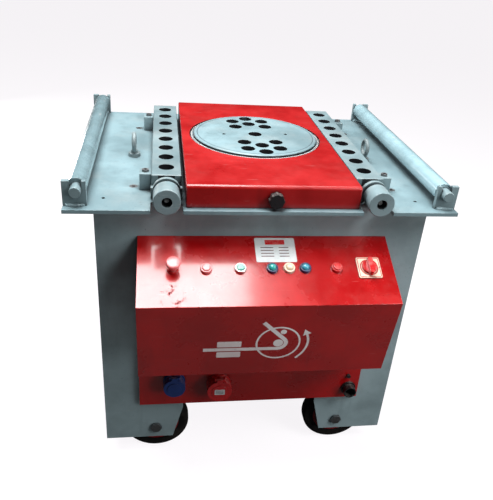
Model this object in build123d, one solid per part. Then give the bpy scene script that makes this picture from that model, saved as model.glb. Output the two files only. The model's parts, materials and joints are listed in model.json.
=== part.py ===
"""Rebar bender: table machine with a driven turntable, two sliding socket bars and support rollers.

Frame: millimetres, origin on the floor under the middle of the machine, +X to the operator's right,
+Y towards the back, +Z up.  Each sub-part is written to parts/NODE.step.
"""
from build123d import *
import math
import os

# ---- driving dimensions ---------------------------------------------------------------------
TABLE_W = 990.0           # table width, the longest side of the machine
TABLE_D = 816.0           # table depth
TABLE_T = 10.0            # table plate thickness
TABLE_TOP = 866.0         # working height
NOSE = 128.0              # console crease in front of the table's front edge
BODY_X = 6.0              # centre line of the cabinet and console, from the table's own
TOP_X = 15.0              # centre line of the turntable, bars and drive

FRONT = NOSE - (TABLE_D + NOSE) / 2   # Y of the table's front edge
REAR = FRONT + TABLE_D                # Y of the table's rear edge
UNDER = TABLE_TOP - TABLE_T           # Z of the table's underside

SHEET = 3.0               # folded sheet covers
PLATE = 5.0               # front and rear frame plates
GAP = 0.3                 # clearance between pieces that move past each other
RUN = 0.08                # radial clearance of a running fit
SEAT = 0.02               # radial clearance of a part seated on its own shaft

BODY_W = 872.0            # cabinet width
BODY_Y0 = FRONT + 62      # cabinet front face
BODY_Y1 = REAR - 45       # cabinet rear face
FOOT_Z = 60.0             # lower edge of the foot plates
ARCH_Z = 205.0            # top of the open space between the feet
ARCH_TOP_W = 410.0        # its width at the top
ARCH_FOOT_W = 470.0       # its width at the foot ends
ARCH_KNEE_Z = 178.0       # height where the foot plates start to taper

TURN_Y = FRONT + 410      # turntable axis
DISC_R = 184.0
DISC_TOP = TABLE_TOP + 64
DISC_T = 24.0
SPIGOT_R = 176.0          # lower step of the disc, inside the index ring
RING_R = 193.0
RING_T = 12.0
SOCKET_R = 20.0           # pin sockets in the disc and the bars
SOCKET_PITCH = 54.0       # side of the disc's triangular hole pattern
INNER_SOCKET = 100.0      # nearest hole of each cluster to the axis
TAPPED_R = 5.0
TAPPED_OFFSET = 95.0
DISC_TURN = 4.0           # degrees, how the disc stands at rest

BAR_X = 266.0             # socket bar centre line, from TOP_X
BAR_W = 75.0
BAR_TOP = TABLE_TOP + 50
BAR_Y0 = FRONT + 103
BAR_L = 635.0
BAR_HOLES = 8
BAR_PITCH = 75.5
BAR_FIRST = FRONT + 160
SCREW_Z = TABLE_TOP + 25
SCREW_R = 10.0
WHEEL_KNOB_R = 33.0       # adjusting wheels on the lead screws

ROLLER_X = 463.0
ROLLER_Z = TABLE_TOP + 40
ROLLER_R = 24.15
ROLLER_BORE = 20.95
ROLLER_SHAFT_R = 14.0
BRACKET_W = 56.0
BRACKET_H = 62.0
BRACKET_T = 12.0
BRACKET_X = 467.0
BRACKET_INSET = 26.0      # bracket's outer face from the table's front edge
BRACKET_REAR = 4.0        # and from its rear edge

COVER_W = 440.0
COVER_Y0 = FRONT + 19
COVER_Y1 = FRONT + 754
COVER_TOP = TABLE_TOP + 59
COVER_HOLE_R = 196.0
HINGE_Y = COVER_Y1 + 8
HINGE_Z = TABLE_TOP + 8
HINGE_XS = (-140.0, 140.0)
LATCH_Z = TABLE_TOP + 28

CONSOLE_W = 660.0
SLOPE_TOP = (BODY_Y0, TABLE_TOP - 99)         # sloped control face, top edge (Y, Z)
CREASE = (FRONT - NOSE, TABLE_TOP - 192)      # its front edge
CONSOLE_LOW = (FRONT - 88, TABLE_TOP - 434)   # lower front edge
CONTROLS_ALONG = 0.49                         # controls' place down the slope
CONTROL_R = 15.0
PANEL_W = 668.0                               # lower panel
PANEL_Y = BODY_Y0 - 14
PANEL_Z = ARCH_Z

ESTOP_X, STOP_X, START_X, RESET_X = -242.0, -160.0, -74.0, 176.0
LAMP_XS = (7.0, 51.0, 93.0)
ISOLATOR_X = 262.0

BLUE_SOCKET = (-233.0, TABLE_TOP - 571, 32.0)     # X, Z, radius
RED_SOCKET = (-102.0, TABLE_TOP - 588, 37.0)
PEDAL_SOCKET = (302.0, TABLE_TOP - 622, 23.0)

ROAD_WHEEL_R = 100.0
ROAD_WHEEL_W = 46.0
ROAD_WHEEL_X = 286.0
AXLE_R = 10.0

# gear train: two spur stages of 4 to 1, then belts of 2.5 to 1
BIG_TEETH = 60
SMALL_TEETH = 15
MODULE_1 = 5.0
MODULE_2 = 4.0
PRESSURE = math.radians(20)
CENTRE_1 = MODULE_1 * (BIG_TEETH + SMALL_TEETH) / 2
CENTRE_2 = MODULE_2 * (BIG_TEETH + SMALL_TEETH) / 2
COUNTER = (0.0, TURN_Y + CENTRE_1)
INPUT = (CENTRE_2, TURN_Y + CENTRE_1)
MOTOR = (260.0, TURN_Y - 135)
LEVEL_1 = (UNDER - 72, UNDER - 32)      # Z span of the first gear stage
LEVEL_2 = (UNDER - 142, UNDER - 112)
PULLEY_Z = (UNDER - 269, UNDER - 227)
DRIVEN_R = 100.0
DRIVER_R = 40.0
MAIN_R = 45.0
MAIN_FOOT_R = 35.0
COUNTER_R = 22.0
INPUT_R = 16.0
CASE_X = (-168.0, 208.0)
CASE_Y = (TURN_Y - 168, TURN_Y + 325)
CASE_Z = UNDER - 192
CASE_WALL = 8.0
CASE_FLOOR = 10.0
SHELF_TOP = UNDER - 300
MOTOR_R = 95.0
MOTOR_Z = (SHELF_TOP - 232, SHELF_TOP - 12)
COWL_Z = MOTOR_Z[0] - 60


# ---- helpers --------------------------------------------------------------------------------
def block(x, y, z):
    """Box from three (low, high) spans."""
    spans = (x, y, z)
    centre = [(a + b) / 2 for a, b in spans]
    size = [b - a for a, b in spans]
    return Pos(*centre) * Box(*size)


def span(centre, size):
    return (centre - size / 2, centre + size / 2)


def rod(axis, at, ends, radius):
    """Cylinder along axis 'x', 'y' or 'z'; at gives the other two coordinates in order."""
    low, high = ends
    bar = Cylinder(radius, high - low)
    middle = (low + high) / 2
    if axis == "x":
        return Pos(middle, at[0], at[1]) * Rot(0, 90, 0) * bar
    if axis == "y":
        return Pos(at[0], middle, at[1]) * Rot(90, 0, 0) * bar
    return Pos(at[0], at[1], middle) * bar


def ring(axis, at, ends, outer, inner):
    return rod(axis, at, ends, outer) - rod(axis, at, (ends[0] - 1, ends[1] + 1), inner)


def face_of(points):
    return make_face(Polyline(*points, close=True))


def prism_x(points, low, high):
    """Outline in (Y, Z), extruded along X."""
    plane = Plane(origin=(low, 0, 0), x_dir=(0, 1, 0), z_dir=(1, 0, 0))
    return extrude(plane * face_of(points), high - low)


def prism_y(points, low, high):
    """Outline in (X, Z), extruded along Y."""
    plane = Plane(origin=(0, high, 0), x_dir=(1, 0, 0), z_dir=(0, -1, 0))
    return extrude(plane * face_of(points), high - low)


def prism_z(points, low, high):
    """Outline in (X, Y), extruded along Z."""
    return extrude(Pos(0, 0, low) * face_of(points), high - low)


def revolve_z(points, at, base):
    """Solid of revolution about a vertical axis; points are (radius, height above base)."""
    profile = Plane.XZ * face_of(points)
    return Pos(at[0], at[1], base) * revolve(profile, Axis.Z)


def mirrored(shape):
    return mirror(shape, about=Plane.YZ)


def save(name, *shapes, x=0.0):
    """Write the solids of one node, moved to the centre line of their group."""
    solids = [Pos(x, 0, 0) * solid for shape in shapes for solid in shape.solids()]
    whole = solids[0] if len(solids) == 1 else Compound(solids)
    export_step(whole, f"parts/{name}.step")


def both_sides(shape):
    return shape, mirrored(shape)


def hex_head(height, across):
    return extrude(RegularPolygon(across / 2, 6, major_radius=False), height)


# ---- table and cabinet ----------------------------------------------------------------------
TABLE_BOLTS = [(sx * 350, FRONT + y) for sx in (-1, 1) for y in (149, 638)]
TABLE_BOLT_R = 6.0
TABLE_BOLT_HEAD_R = 11.0
TABLE_BOLT_HEAD_H = 6.0
SMALL_HOLES = [(sx * 405, FRONT + 72) for sx in (-1, 1)]
SMALL_HOLE_R = 4.5
NOTCH_W = 78.0            # notch that each adjusting wheel hangs in
NOTCH_D = 51.0
HOUSING_TUBE_R = 80.0


def table_plate():
    plate = block(span(0, TABLE_W), (FRONT, REAR), (UNDER, TABLE_TOP))
    for sx in (-1, 1):
        middle = TOP_X + sx * BAR_X
        notch = block(span(middle, NOTCH_W), (FRONT - 1, FRONT + NOTCH_D), (UNDER - 1, TABLE_TOP + 1))
        plate -= fillet(notch.edges().filter_by(Axis.Z).sort_by(Axis.Y)[-2:], 6)
    for x, y in TABLE_BOLTS:
        x += TOP_X
        head = Pos(x, y, TABLE_TOP - TABLE_BOLT_HEAD_H / 2)
        plate -= head * Cone(TABLE_BOLT_R, TABLE_BOLT_HEAD_R, TABLE_BOLT_HEAD_H)
        plate -= rod("z", (x, y), (UNDER - 1, TABLE_TOP), TABLE_BOLT_R)
    for x, y in SMALL_HOLES:
        plate -= rod("z", (x, y), (UNDER - 1, TABLE_TOP + 1), SMALL_HOLE_R)
    for x in (BODY_X - EYE_X, BODY_X + EYE_X):
        plate -= rod("z", (x, EYE_Y), (UNDER - 1, TABLE_TOP + 1), EYE_SHANK_R)
    return plate - rod("z", (TOP_X, TURN_Y), (UNDER - 1, TABLE_TOP + 1), HOUSING_TUBE_R)


def arch_outline():
    """Frame plate outline: a rectangle with a tapered opening between its two feet."""
    half = BODY_W / 2
    right = [(half, UNDER), (half, FOOT_Z), (ARCH_FOOT_W / 2, FOOT_Z),
             (ARCH_TOP_W / 2, ARCH_KNEE_Z), (ARCH_TOP_W / 2, ARCH_Z)]
    return right + [(-x, z) for x, z in reversed(right)]


WINDOW = (span(0, 610), (TABLE_TOP - 618, TABLE_TOP - 440))
AXLE_Z = ROAD_WHEEL_R


def axle_holes(plate, ends):
    for sx in (-1, 1):
        plate -= rod("y", (sx * ROAD_WHEEL_X, AXLE_Z), ends, AXLE_R)
    return plate


def front_frame():
    plate = prism_y(arch_outline(), BODY_Y0, BODY_Y0 + PLATE)
    cut = (BODY_Y0 - 1, BODY_Y0 + PLATE + 1)
    plate -= block(WINDOW[0], cut, WINDOW[1])
    return axle_holes(plate, cut)


VENT_W = 120.0
VENT_H = 7.0
VENT_STEP = 24.0
VENT_ROWS = 8
VENT_TOP = 620.0
VENT_PITCH = 200.0
SIDE_VENT_DROP = 120.0    # side panel's vents below the rear's
SIDE_VENT_Y = 70.0


def vents(make_slot):
    return [make_slot(VENT_TOP - row * VENT_STEP) for row in range(VENT_ROWS)]


def rear_frame():
    plate = prism_y(arch_outline(), BODY_Y1 - PLATE, BODY_Y1)
    cut = (BODY_Y1 - PLATE - 1, BODY_Y1 + 1)
    for x in (-VENT_PITCH, 0, VENT_PITCH):
        for slot in vents(lambda z: block(span(x, VENT_W), cut, span(z, VENT_H))):
            plate -= slot
    return axle_holes(plate, cut)


SIDE_LOW = 152.0
SIDE_T = 4.0


def side_panel():
    inner = BODY_W / 2 - SIDE_T
    panel = block((inner, BODY_W / 2), (BODY_Y0 + PLATE, BODY_Y1 - PLATE), (SIDE_LOW, UNDER))
    cut = (inner - 1, BODY_W / 2 + 1)
    for step in (-1, 0, 1):
        width = span(SIDE_VENT_Y + step * VENT_PITCH, VENT_W)
        for slot in vents(lambda z: block(cut, width, span(z - SIDE_VENT_DROP, VENT_H))):
            panel -= slot
    return panel


RAIL_Z = (206.0, 246.0)
RAIL_D = 80.0
RAIL_WALL = 4.0
CHEEK_W = 98.0
CHEEK_T = 6.0
CHEEK_LOW = 58.0


def cross_rail(y0, toward):
    """Box tube behind a frame plate, with a hanging cheek plate at each wheel."""
    ys = sorted((y0, y0 + toward * RAIL_D))
    half = BODY_W / 2 - SIDE_T
    tube = block((-half, half), ys, RAIL_Z)
    inner_y = (ys[0] + RAIL_WALL, ys[1] - RAIL_WALL)
    inner_z = (RAIL_Z[0] + RAIL_WALL, RAIL_Z[1] - RAIL_WALL)
    tube -= block((-half - 1, half + 1), inner_y, inner_z)
    far = y0 + toward * RAIL_D
    cheek_y = sorted((far, far - toward * CHEEK_T))
    for sx in (-1, 1):
        cheek = block(span(sx * ROAD_WHEEL_X, CHEEK_W), cheek_y, (CHEEK_LOW, RAIL_Z[0]))
        cheek -= rod("y", (sx * ROAD_WHEEL_X, AXLE_Z), (cheek_y[0] - 1, cheek_y[1] + 1), AXLE_R)
        tube += cheek
    return tube


def wheel_places():
    """(name, X, Y of the frame plate's inner face, direction into the cabinet)."""
    front, rear = BODY_Y0 + PLATE, BODY_Y1 - PLATE
    for end, y, toward in (("front", front, 1), ("rear", rear, -1)):
        for side, sx in (("left", -1), ("right", 1)):
            yield f"{end}_{side}", sx * ROAD_WHEEL_X, y, toward


AXLE_HEAD_H = 8.0
AXLE_HEAD_W = 30.0
AXLE_TAIL = 14.0


def axle_bolt(x, y, toward):
    outer = y - toward * PLATE
    tail = y + toward * (RAIL_D + AXLE_TAIL)
    bolt = rod("y", (x, AXLE_Z), sorted((outer, tail)), AXLE_R)
    head = extrude(RegularPolygon(AXLE_HEAD_W / 2, 6, major_radius=False), AXLE_HEAD_H)
    bolt += Pos(x, outer, AXLE_Z) * Rot(90 * toward, 0, 0) * head
    nut_start = y + toward * (RAIL_D + 1)
    bolt += Pos(x, nut_start, AXLE_Z) * Rot(-90 * toward, 0, 0) * head
    return bolt


WHEEL_GAP = 3.0
TYRE_T = 20.0
HUB_R = 24.0
WEB_T = 12.0
RIM_T = 8.0


def road_wheel(x, y, toward):
    """Hub with a web, and a solid tyre seated round it."""
    room = RAIL_D - CHEEK_T
    middle = y + toward * room / 2
    hub_w = room - 2 * WHEEL_GAP
    rim_r = ROAD_WHEEL_R - TYRE_T
    hub = rod("y", (x, AXLE_Z), span(middle, hub_w), HUB_R)
    hub += rod("y", (x, AXLE_Z), span(middle, WEB_T), rim_r - RIM_T / 2)
    hub += ring("y", (x, AXLE_Z), span(middle, ROAD_WHEEL_W - 4), rim_r, rim_r - RIM_T)
    hub -= rod("y", (x, AXLE_Z), span(middle, hub_w + 2), AXLE_R + RUN)
    tyre = ring("y", (x, AXLE_Z), span(middle, ROAD_WHEEL_W), ROAD_WHEEL_R, rim_r + SEAT)
    corners = tyre.edges().filter_by(GeomType.CIRCLE).sort_by(SortBy.RADIUS)[-2:]
    return hub, fillet(corners, 6)


# ---- rollers along the table edges ----------------------------------------------------------
def roller_bracket(y0):
    x = span(BRACKET_X, BRACKET_W)
    plate = block(x, (y0, y0 + BRACKET_T), (TABLE_TOP, TABLE_TOP + BRACKET_H))
    cut = (y0 - 1, y0 + BRACKET_T + 1)
    plate -= rod("y", (ROLLER_X, ROLLER_Z), cut, ROLLER_SHAFT_R + SEAT)
    slot_w = 2 * (ROLLER_SHAFT_R + SEAT)
    plate -= block(span(ROLLER_X, slot_w), cut, (ROLLER_Z, TABLE_TOP + BRACKET_H + 1))
    return plate


BRACKET_YS = (FRONT + BRACKET_INSET, REAR - BRACKET_REAR - BRACKET_T)
SHAFT_STICKS_OUT = 20.0


def roller_shaft():
    ends = (BRACKET_YS[0] - SHAFT_STICKS_OUT, REAR - 1)
    shaft = rod("y", (ROLLER_X, ROLLER_Z), ends, ROLLER_SHAFT_R)
    return chamfer(shaft.edges().filter_by(GeomType.CIRCLE), 1.5)


def roller():
    ends = (BRACKET_YS[0] + BRACKET_T + 4, BRACKET_YS[1] - 4)
    tube = ring("y", (ROLLER_X, ROLLER_Z), ends, ROLLER_R, ROLLER_BORE)
    bushes = []
    for low, high in ((ends[0], ends[0] + 18), (ends[1] - 18, ends[1])):
        place = (ROLLER_X, ROLLER_Z)
        bushes.append(ring("y", place, (low, high), ROLLER_BORE - SEAT, ROLLER_SHAFT_R + RUN))
    return [tube] + bushes


# ---- sliding socket bars and their lead screws ----------------------------------------------
def bar_holes():
    return [BAR_FIRST + i * BAR_PITCH for i in range(BAR_HOLES)]


SCREW_TIP = FRONT + 126
SCREW_BORE = 40.0
YOKE_LUG = (FRONT + 57, FRONT + 68)
YOKE_BLOCK = (YOKE_LUG[1], FRONT + 83)
YOKE_R = 35.0
YOKE_BLOCK_W = 78.0
YOKE_BLOCK_H = 30.0
JOURNAL_R = 12.0


def hole_bar():
    bar = block(span(BAR_X, BAR_W), (BAR_Y0, BAR_Y0 + BAR_L), (TABLE_TOP + GAP, BAR_TOP))
    bar = chamfer(bar.edges(), 1.5)
    for y in bar_holes():
        bar -= rod("z", (BAR_X, y), (TABLE_TOP - 1, BAR_TOP + 1), SOCKET_R)
    return bar - rod("y", (BAR_X, SCREW_Z), (BAR_Y0 - 1, BAR_Y0 + SCREW_BORE), SCREW_R + GAP)


def screw_yoke():
    """Arched lug and block that carry the lead screw at the front of a bar."""
    lug = rod("y", (BAR_X, SCREW_Z), YOKE_LUG, YOKE_R)
    lug += block(span(BAR_X, 2 * YOKE_R), YOKE_LUG, (TABLE_TOP, SCREW_Z))
    lug -= block(span(BAR_X, 4 * YOKE_R), span(YOKE_LUG[0], 60), (UNDER - 40, TABLE_TOP))
    lug += block(span(BAR_X, YOKE_BLOCK_W), YOKE_BLOCK, (TABLE_TOP, TABLE_TOP + YOKE_BLOCK_H))
    return lug - rod("y", (BAR_X, SCREW_Z), (YOKE_LUG[0] - 1, YOKE_BLOCK[1] + 1), JOURNAL_R + RUN)


KNOB_Y = (FRONT - 9, FRONT + 47)
HUB_HOLE_R = 13.0
HUB_HOLE_DEPTH = 22.0


def adjusting_wheel():
    """Turned wheel with a deep hub recess."""
    wheel = rod("y", (BAR_X, SCREW_Z), KNOB_Y, WHEEL_KNOB_R)
    wheel = chamfer(wheel.edges().filter_by(GeomType.CIRCLE), 1.5)
    recess = (KNOB_Y[0] - 1, KNOB_Y[0] + HUB_HOLE_DEPTH)
    wheel -= rod("y", (BAR_X, SCREW_Z), recess, HUB_HOLE_R)
    return wheel - rod("y", (BAR_X, SCREW_Z), (recess[1] - 1, KNOB_Y[1] + 1), SCREW_R + SEAT)


def lead_screw():
    """Screw with its journal, thrust collars and the bolt head in the wheel's recess."""
    at = (BAR_X, SCREW_Z)
    screw = rod("y", at, (KNOB_Y[0] + HUB_HOLE_DEPTH, SCREW_TIP), SCREW_R)
    screw += rod("y", at, (KNOB_Y[1], YOKE_LUG[0] - GAP), 20)
    screw += rod("y", at, (KNOB_Y[1], YOKE_BLOCK[1] + GAP), JOURNAL_R)
    screw += rod("y", at, (YOKE_BLOCK[1] + GAP, YOKE_BLOCK[1] + 4), 15)
    bolt = Pos(BAR_X, KNOB_Y[0] + HUB_HOLE_DEPTH, SCREW_Z) * Rot(90, 0, 0) * hex_head(9, 13)
    return screw + bolt


GUIDE_W = 30.0
GUIDE_D = 42.0
GUIDE_H = 44.0
GUIDE_YS = (FRONT + 122, FRONT + 613)
GUIDE_X = BAR_X + BAR_W / 2 + GAP + GUIDE_W / 2
GUIDE_BOLT_R = 5.0


def guide_block(y0):
    guide = block(span(GUIDE_X, GUIDE_W), (y0, y0 + GUIDE_D), (TABLE_TOP, TABLE_TOP + GUIDE_H))
    guide = chamfer(guide.edges().filter_by(Axis.Z), 1.5)
    place = (GUIDE_X, y0 + GUIDE_D / 2)
    return guide - rod("z", place, (TABLE_TOP - 1, TABLE_TOP + GUIDE_H + 1), GUIDE_BOLT_R)


def guide_bolt(y0):
    top = TABLE_TOP + GUIDE_H
    place = (GUIDE_X, y0 + GUIDE_D / 2)
    bolt = rod("z", place, (TABLE_TOP + 4, top), GUIDE_BOLT_R)
    bolt += rod("z", place, (top, top + 6), 8.5)
    return bolt - Pos(*place, top + 2) * hex_head(5, 8)


def table_bolt(x, y):
    head = Pos(x, y, TABLE_TOP - TABLE_BOLT_HEAD_H / 2)
    bolt = head * Cone(TABLE_BOLT_R, TABLE_BOLT_HEAD_R, TABLE_BOLT_HEAD_H)
    bolt += rod("z", (x, y), (UNDER - 14, TABLE_TOP - TABLE_BOLT_HEAD_H), TABLE_BOLT_R)
    return bolt - Pos(x, y, TABLE_TOP - 4) * hex_head(5, 8)


EYE_X = 347.0
EYE_Y = FRONT + 375
EYE_SHANK_R = 8.0
EYE_RING_R = 22.0
EYE_WIRE_R = 6.0
EYE_RING_Z = TABLE_TOP + 42


def eye_bolt():
    """Lifting eye: threaded shank, collar and a ring that stands fore and aft."""
    eye = rod("z", (EYE_X, EYE_Y), (UNDER - 10, TABLE_TOP), EYE_SHANK_R)
    eye += rod("z", (EYE_X, EYE_Y), (TABLE_TOP, TABLE_TOP + 10), 17)
    eye += rod("z", (EYE_X, EYE_Y), (TABLE_TOP + 10, TABLE_TOP + 18), 10)
    loop = Torus(EYE_RING_R, EYE_WIRE_R)
    return eye + Pos(EYE_X, EYE_Y, EYE_RING_Z) * Rot(0, 90, 0) * loop


# ---- turntable ------------------------------------------------------------------------------
def disc_holes():
    """Hole centres about the axis: one in the middle and a hexagon-pitched cluster each side."""
    rise = SOCKET_PITCH / 2
    side = SOCKET_PITCH * math.sin(math.radians(60))
    cluster = [(0, INNER_SOCKET), (0, INNER_SOCKET + SOCKET_PITCH)]
    for sx in (-side, side):
        cluster += [(sx, INNER_SOCKET - rise), (sx, INNER_SOCKET + rise)]
    return [(0, 0)] + cluster + [(-x, -y) for x, y in cluster]


def turned(shape):
    return Pos(0, TURN_Y, 0) * Rot(0, 0, DISC_TURN) * shape


def turntable_disc():
    low = DISC_TOP - DISC_T
    step = DISC_TOP - 10
    disc = rod("z", (0, 0), (step, DISC_TOP), DISC_R)
    disc = chamfer(disc.edges().filter_by(GeomType.CIRCLE).sort_by(Axis.Z)[-1], 3)
    disc += rod("z", (0, 0), (low, step), SPIGOT_R)
    for place in disc_holes():
        disc -= rod("z", place, (low - 1, DISC_TOP + 1), SOCKET_R)
    for sx in (-1, 1):
        disc -= rod("z", (sx * TAPPED_OFFSET, 0), (low - 1, DISC_TOP + 1), TAPPED_R)
    return turned(disc)


RING_NOTCHES = 72


def index_ring():
    """Ring under the disc's rim with a small notch every five degrees."""
    top = DISC_TOP - 10
    band = ring("z", (0, 0), (top - RING_T, top), RING_R, SPIGOT_R + SEAT)
    notch = Pos(RING_R - 1, 0, top - 1) * Box(5, 2.4, 4)
    notches = [Rot(0, 0, i * 360 / RING_NOTCHES) * notch for i in range(RING_NOTCHES)]
    return turned(band - notches)


SHAFT_TOP = DISC_TOP - DISC_T
CENTRE_RELIEF = 21.0
RELIEF_DEPTH = 60.0
FLANGE_R = 64.0
FLANGE_T = 16.0
SHOULDER_Z = LEVEL_1[0] - 40


def main_shaft():
    """Vertical shaft: head flange under the disc, journal, gear seat and foot journal."""
    at = (0, TURN_Y)
    shaft = rod("z", at, (SHAFT_TOP - FLANGE_T, SHAFT_TOP), FLANGE_R)
    shaft += rod("z", at, (SHOULDER_Z, SHAFT_TOP - FLANGE_T), MAIN_R)
    shaft += rod("z", at, (CASE_Z + CASE_FLOOR + 2, SHOULDER_Z), MAIN_FOOT_R)
    return shaft - rod("z", at, (SHAFT_TOP - RELIEF_DEPTH, SHAFT_TOP + 1), CENTRE_RELIEF)


HOUSING_BORE = 62.0
HOUSING_R = 120.0
HOUSING_H = 18.0
UPPER_BEARING = (TABLE_TOP - 6, TABLE_TOP + 14)


def bearing_housing():
    """Flanged housing bolted on the table round the main shaft."""
    at = (0, TURN_Y)
    housing = rod("z", at, (TABLE_TOP, TABLE_TOP + HOUSING_H), HOUSING_R)
    housing += rod("z", at, (UNDER, TABLE_TOP), HOUSING_TUBE_R - SEAT)
    housing -= rod("z", at, (UNDER - 1, TABLE_TOP + HOUSING_H + 1), MAIN_R + 5)
    return housing - rod("z", at, UPPER_BEARING, HOUSING_BORE)


# ---- gears ----------------------------------------------------------------------------------
ADDENDUM, DEDENDUM, BACKLASH = 0.9, 1.15, 0.12
FLANK_STEPS = 2


def involute(angle):
    return math.tan(angle) - angle


def half_tooth(radius, teeth, module):
    """Half the tooth's angle at a radius."""
    pitch_r = module * teeth / 2
    base_r = pitch_r * math.cos(PRESSURE)
    at_pitch = math.pi / (2 * teeth) - BACKLASH * module / (2 * pitch_r)
    contact = math.acos(min(1.0, base_r / max(radius, base_r)))
    return at_pitch + involute(PRESSURE) - involute(contact)


def gear_outline(teeth, module, tooth_at):
    """Closed outline of a spur gear with a tooth centred on the angle tooth_at (degrees)."""
    pitch_r = module * teeth / 2
    root_r, tip_r = pitch_r - DEDENDUM * module, pitch_r + ADDENDUM * module
    base_r = max(root_r, pitch_r * math.cos(PRESSURE))
    radii = [root_r] + [base_r + (tip_r - base_r) * i / FLANK_STEPS for i in range(FLANK_STEPS + 1)]
    if radii[1] - radii[0] < 0.01:
        radii = radii[1:]
    points = []
    for k in range(teeth):
        middle = math.radians(tooth_at) + 2 * math.pi * k / teeth
        low = [(r, middle - half_tooth(r, teeth, module)) for r in radii]
        high = [(r, middle + half_tooth(r, teeth, module)) for r in reversed(radii)]
        points += [(r * math.cos(a), r * math.sin(a)) for r, a in low + high]
    return points


def gear(at, teeth, module, tooth_at, ends, bore=0.0):
    wheel = prism_z(gear_outline(teeth, module, tooth_at), *ends)
    if bore:
        wheel -= rod("z", (0, 0), (ends[0] - 1, ends[1] + 1), bore)
    return Pos(*at, 0) * wheel


HALF_PITCH = 180 / SMALL_TEETH


def drive_gear():
    return gear((0, TURN_Y), BIG_TEETH, MODULE_1, 90, LEVEL_1, MAIN_R + SEAT)


SHAFT_ENDS = (CASE_Z + CASE_FLOOR + 2, UNDER - 10)


def countershaft():
    shaft = rod("z", COUNTER, SHAFT_ENDS, COUNTER_R)
    low, high = LEVEL_1
    return shaft + gear(COUNTER, SMALL_TEETH, MODULE_1, -90 + HALF_PITCH, (low - 2, high + 2))


def countershaft_gear():
    return gear(COUNTER, BIG_TEETH, MODULE_2, 0, LEVEL_2, COUNTER_R + SEAT)


def input_shaft():
    shaft = rod("z", INPUT, (PULLEY_Z[0] - 6, UNDER - 10), INPUT_R)
    low, high = LEVEL_2
    return shaft + gear(INPUT, SMALL_TEETH, MODULE_2, 180 + HALF_PITCH, (low - 2, high + 2))


# ---- gear case ------------------------------------------------------------------------------
BEARING_H = 16.0
LOWER_BEARINGS = [((0, TURN_Y), MAIN_FOOT_R, 55.0), (COUNTER, COUNTER_R, 40.0), (INPUT, INPUT_R, 31.0)]
UPPER_BEARINGS = LOWER_BEARINGS[1:]
BOSS_WALL = 10.0
LID_T = 8.0


def gear_case():
    """Open-topped case with a bearing boss under each shaft."""
    inner_x = (CASE_X[0] + CASE_WALL, CASE_X[1] - CASE_WALL)
    inner_y = (CASE_Y[0] + CASE_WALL, CASE_Y[1] - CASE_WALL)
    floor = CASE_Z + CASE_FLOOR
    case = block(CASE_X, CASE_Y, (CASE_Z, UNDER - LID_T))
    case = fillet(case.edges().filter_by(Axis.Z), 20)
    cavity = block(inner_x, inner_y, (floor, UNDER))
    case -= fillet(cavity.edges().filter_by(Axis.Z), 12)
    for at, _, outer in LOWER_BEARINGS:
        case += rod("z", at, (floor - 1, floor + 2 + BEARING_H), outer + BOSS_WALL) & block(
            inner_x, inner_y, (floor - 2, UNDER))
        case -= rod("z", at, (floor + 1, UNDER), outer)
    return case - rod("z", INPUT, (CASE_Z - 1, floor + 3), INPUT_R + GAP)


def gear_case_lid():
    lid = block(CASE_X, CASE_Y, (UNDER - LID_T, UNDER))
    lid = fillet(lid.edges().filter_by(Axis.Z), 20)
    top = UNDER - LID_T
    for at, _, outer in UPPER_BEARINGS:
        lid += rod("z", at, (top - BEARING_H, top), outer + 4)
        lid -= rod("z", at, (top - BEARING_H - 1, top), outer)
    return lid - rod("z", (0, TURN_Y), (top - 1, UNDER + 1), HOUSING_TUBE_R)


def bearings():
    rings = [ring("z", (0, TURN_Y), UPPER_BEARING, HOUSING_BORE - SEAT, MAIN_R + RUN)]
    low = CASE_Z + CASE_FLOOR + 2
    for at, inner, outer in LOWER_BEARINGS:
        rings.append(ring("z", at, (low, low + BEARING_H), outer - SEAT, inner + RUN))
    top = UNDER - LID_T
    for at, inner, outer in UPPER_BEARINGS:
        rings.append(ring("z", at, (top - BEARING_H, top - 1), outer - SEAT, inner + RUN))
    return rings


# ---- belts and motor ------------------------------------------------------------------------
GROOVES = (10.5, 31.5)       # heights of the two V grooves above the pulley's lower face
GROOVE_TOP = 13.0
GROOVE_FOOT = 8.0
GROOVE_D = 11.0
BELT_T = 9.0


def pulley(at, radius, bore):
    """Two-groove V pulley."""
    height = PULLEY_Z[1] - PULLEY_Z[0]
    points = [(bore, 0), (radius, 0)]
    for middle in GROOVES:
        points += [(radius, middle - GROOVE_TOP / 2), (radius - GROOVE_D, middle - GROOVE_FOOT / 2),
                   (radius - GROOVE_D, middle + GROOVE_FOOT / 2), (radius, middle + GROOVE_TOP / 2)]
    points += [(radius, height), (bore, height)]
    return revolve_z(points, at, PULLEY_Z[0])


def belt_band(low, high, big, small):
    """Flat loop of the outer radii big and small round the two pulley axes."""
    dx, dy = MOTOR[0] - INPUT[0], MOTOR[1] - INPUT[1]
    reach = math.hypot(dx, dy)
    lean = math.asin((big - small) / reach)
    facing = math.atan2(dy, dx)
    corners = []
    for side in (1, -1):
        a = facing + side * (math.pi / 2 - lean)
        toward = (math.cos(a), math.sin(a))
        ends = [(INPUT[0] + big * toward[0], INPUT[1] + big * toward[1]),
                (MOTOR[0] + small * toward[0], MOTOR[1] + small * toward[1])]
        corners += ends if side == 1 else ends[::-1]
    loop = prism_z(corners, low, high)
    loop += rod("z", INPUT, (low, high), big)
    return loop + rod("z", MOTOR, (low, high), small)


def v_belt(middle):
    """One belt, clear of the groove's foot, standing just inside the pulley rims."""
    z = PULLEY_Z[0] + middle
    half = GROOVE_FOOT / 2 - GAP
    inset = GROOVE_D - GAP
    outer = belt_band(z - half, z + half, DRIVEN_R - inset + BELT_T, DRIVER_R - inset + BELT_T)
    inner = belt_band(z - half - 1, z + half + 1, DRIVEN_R - inset, DRIVER_R - inset)
    return outer - inner


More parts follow.
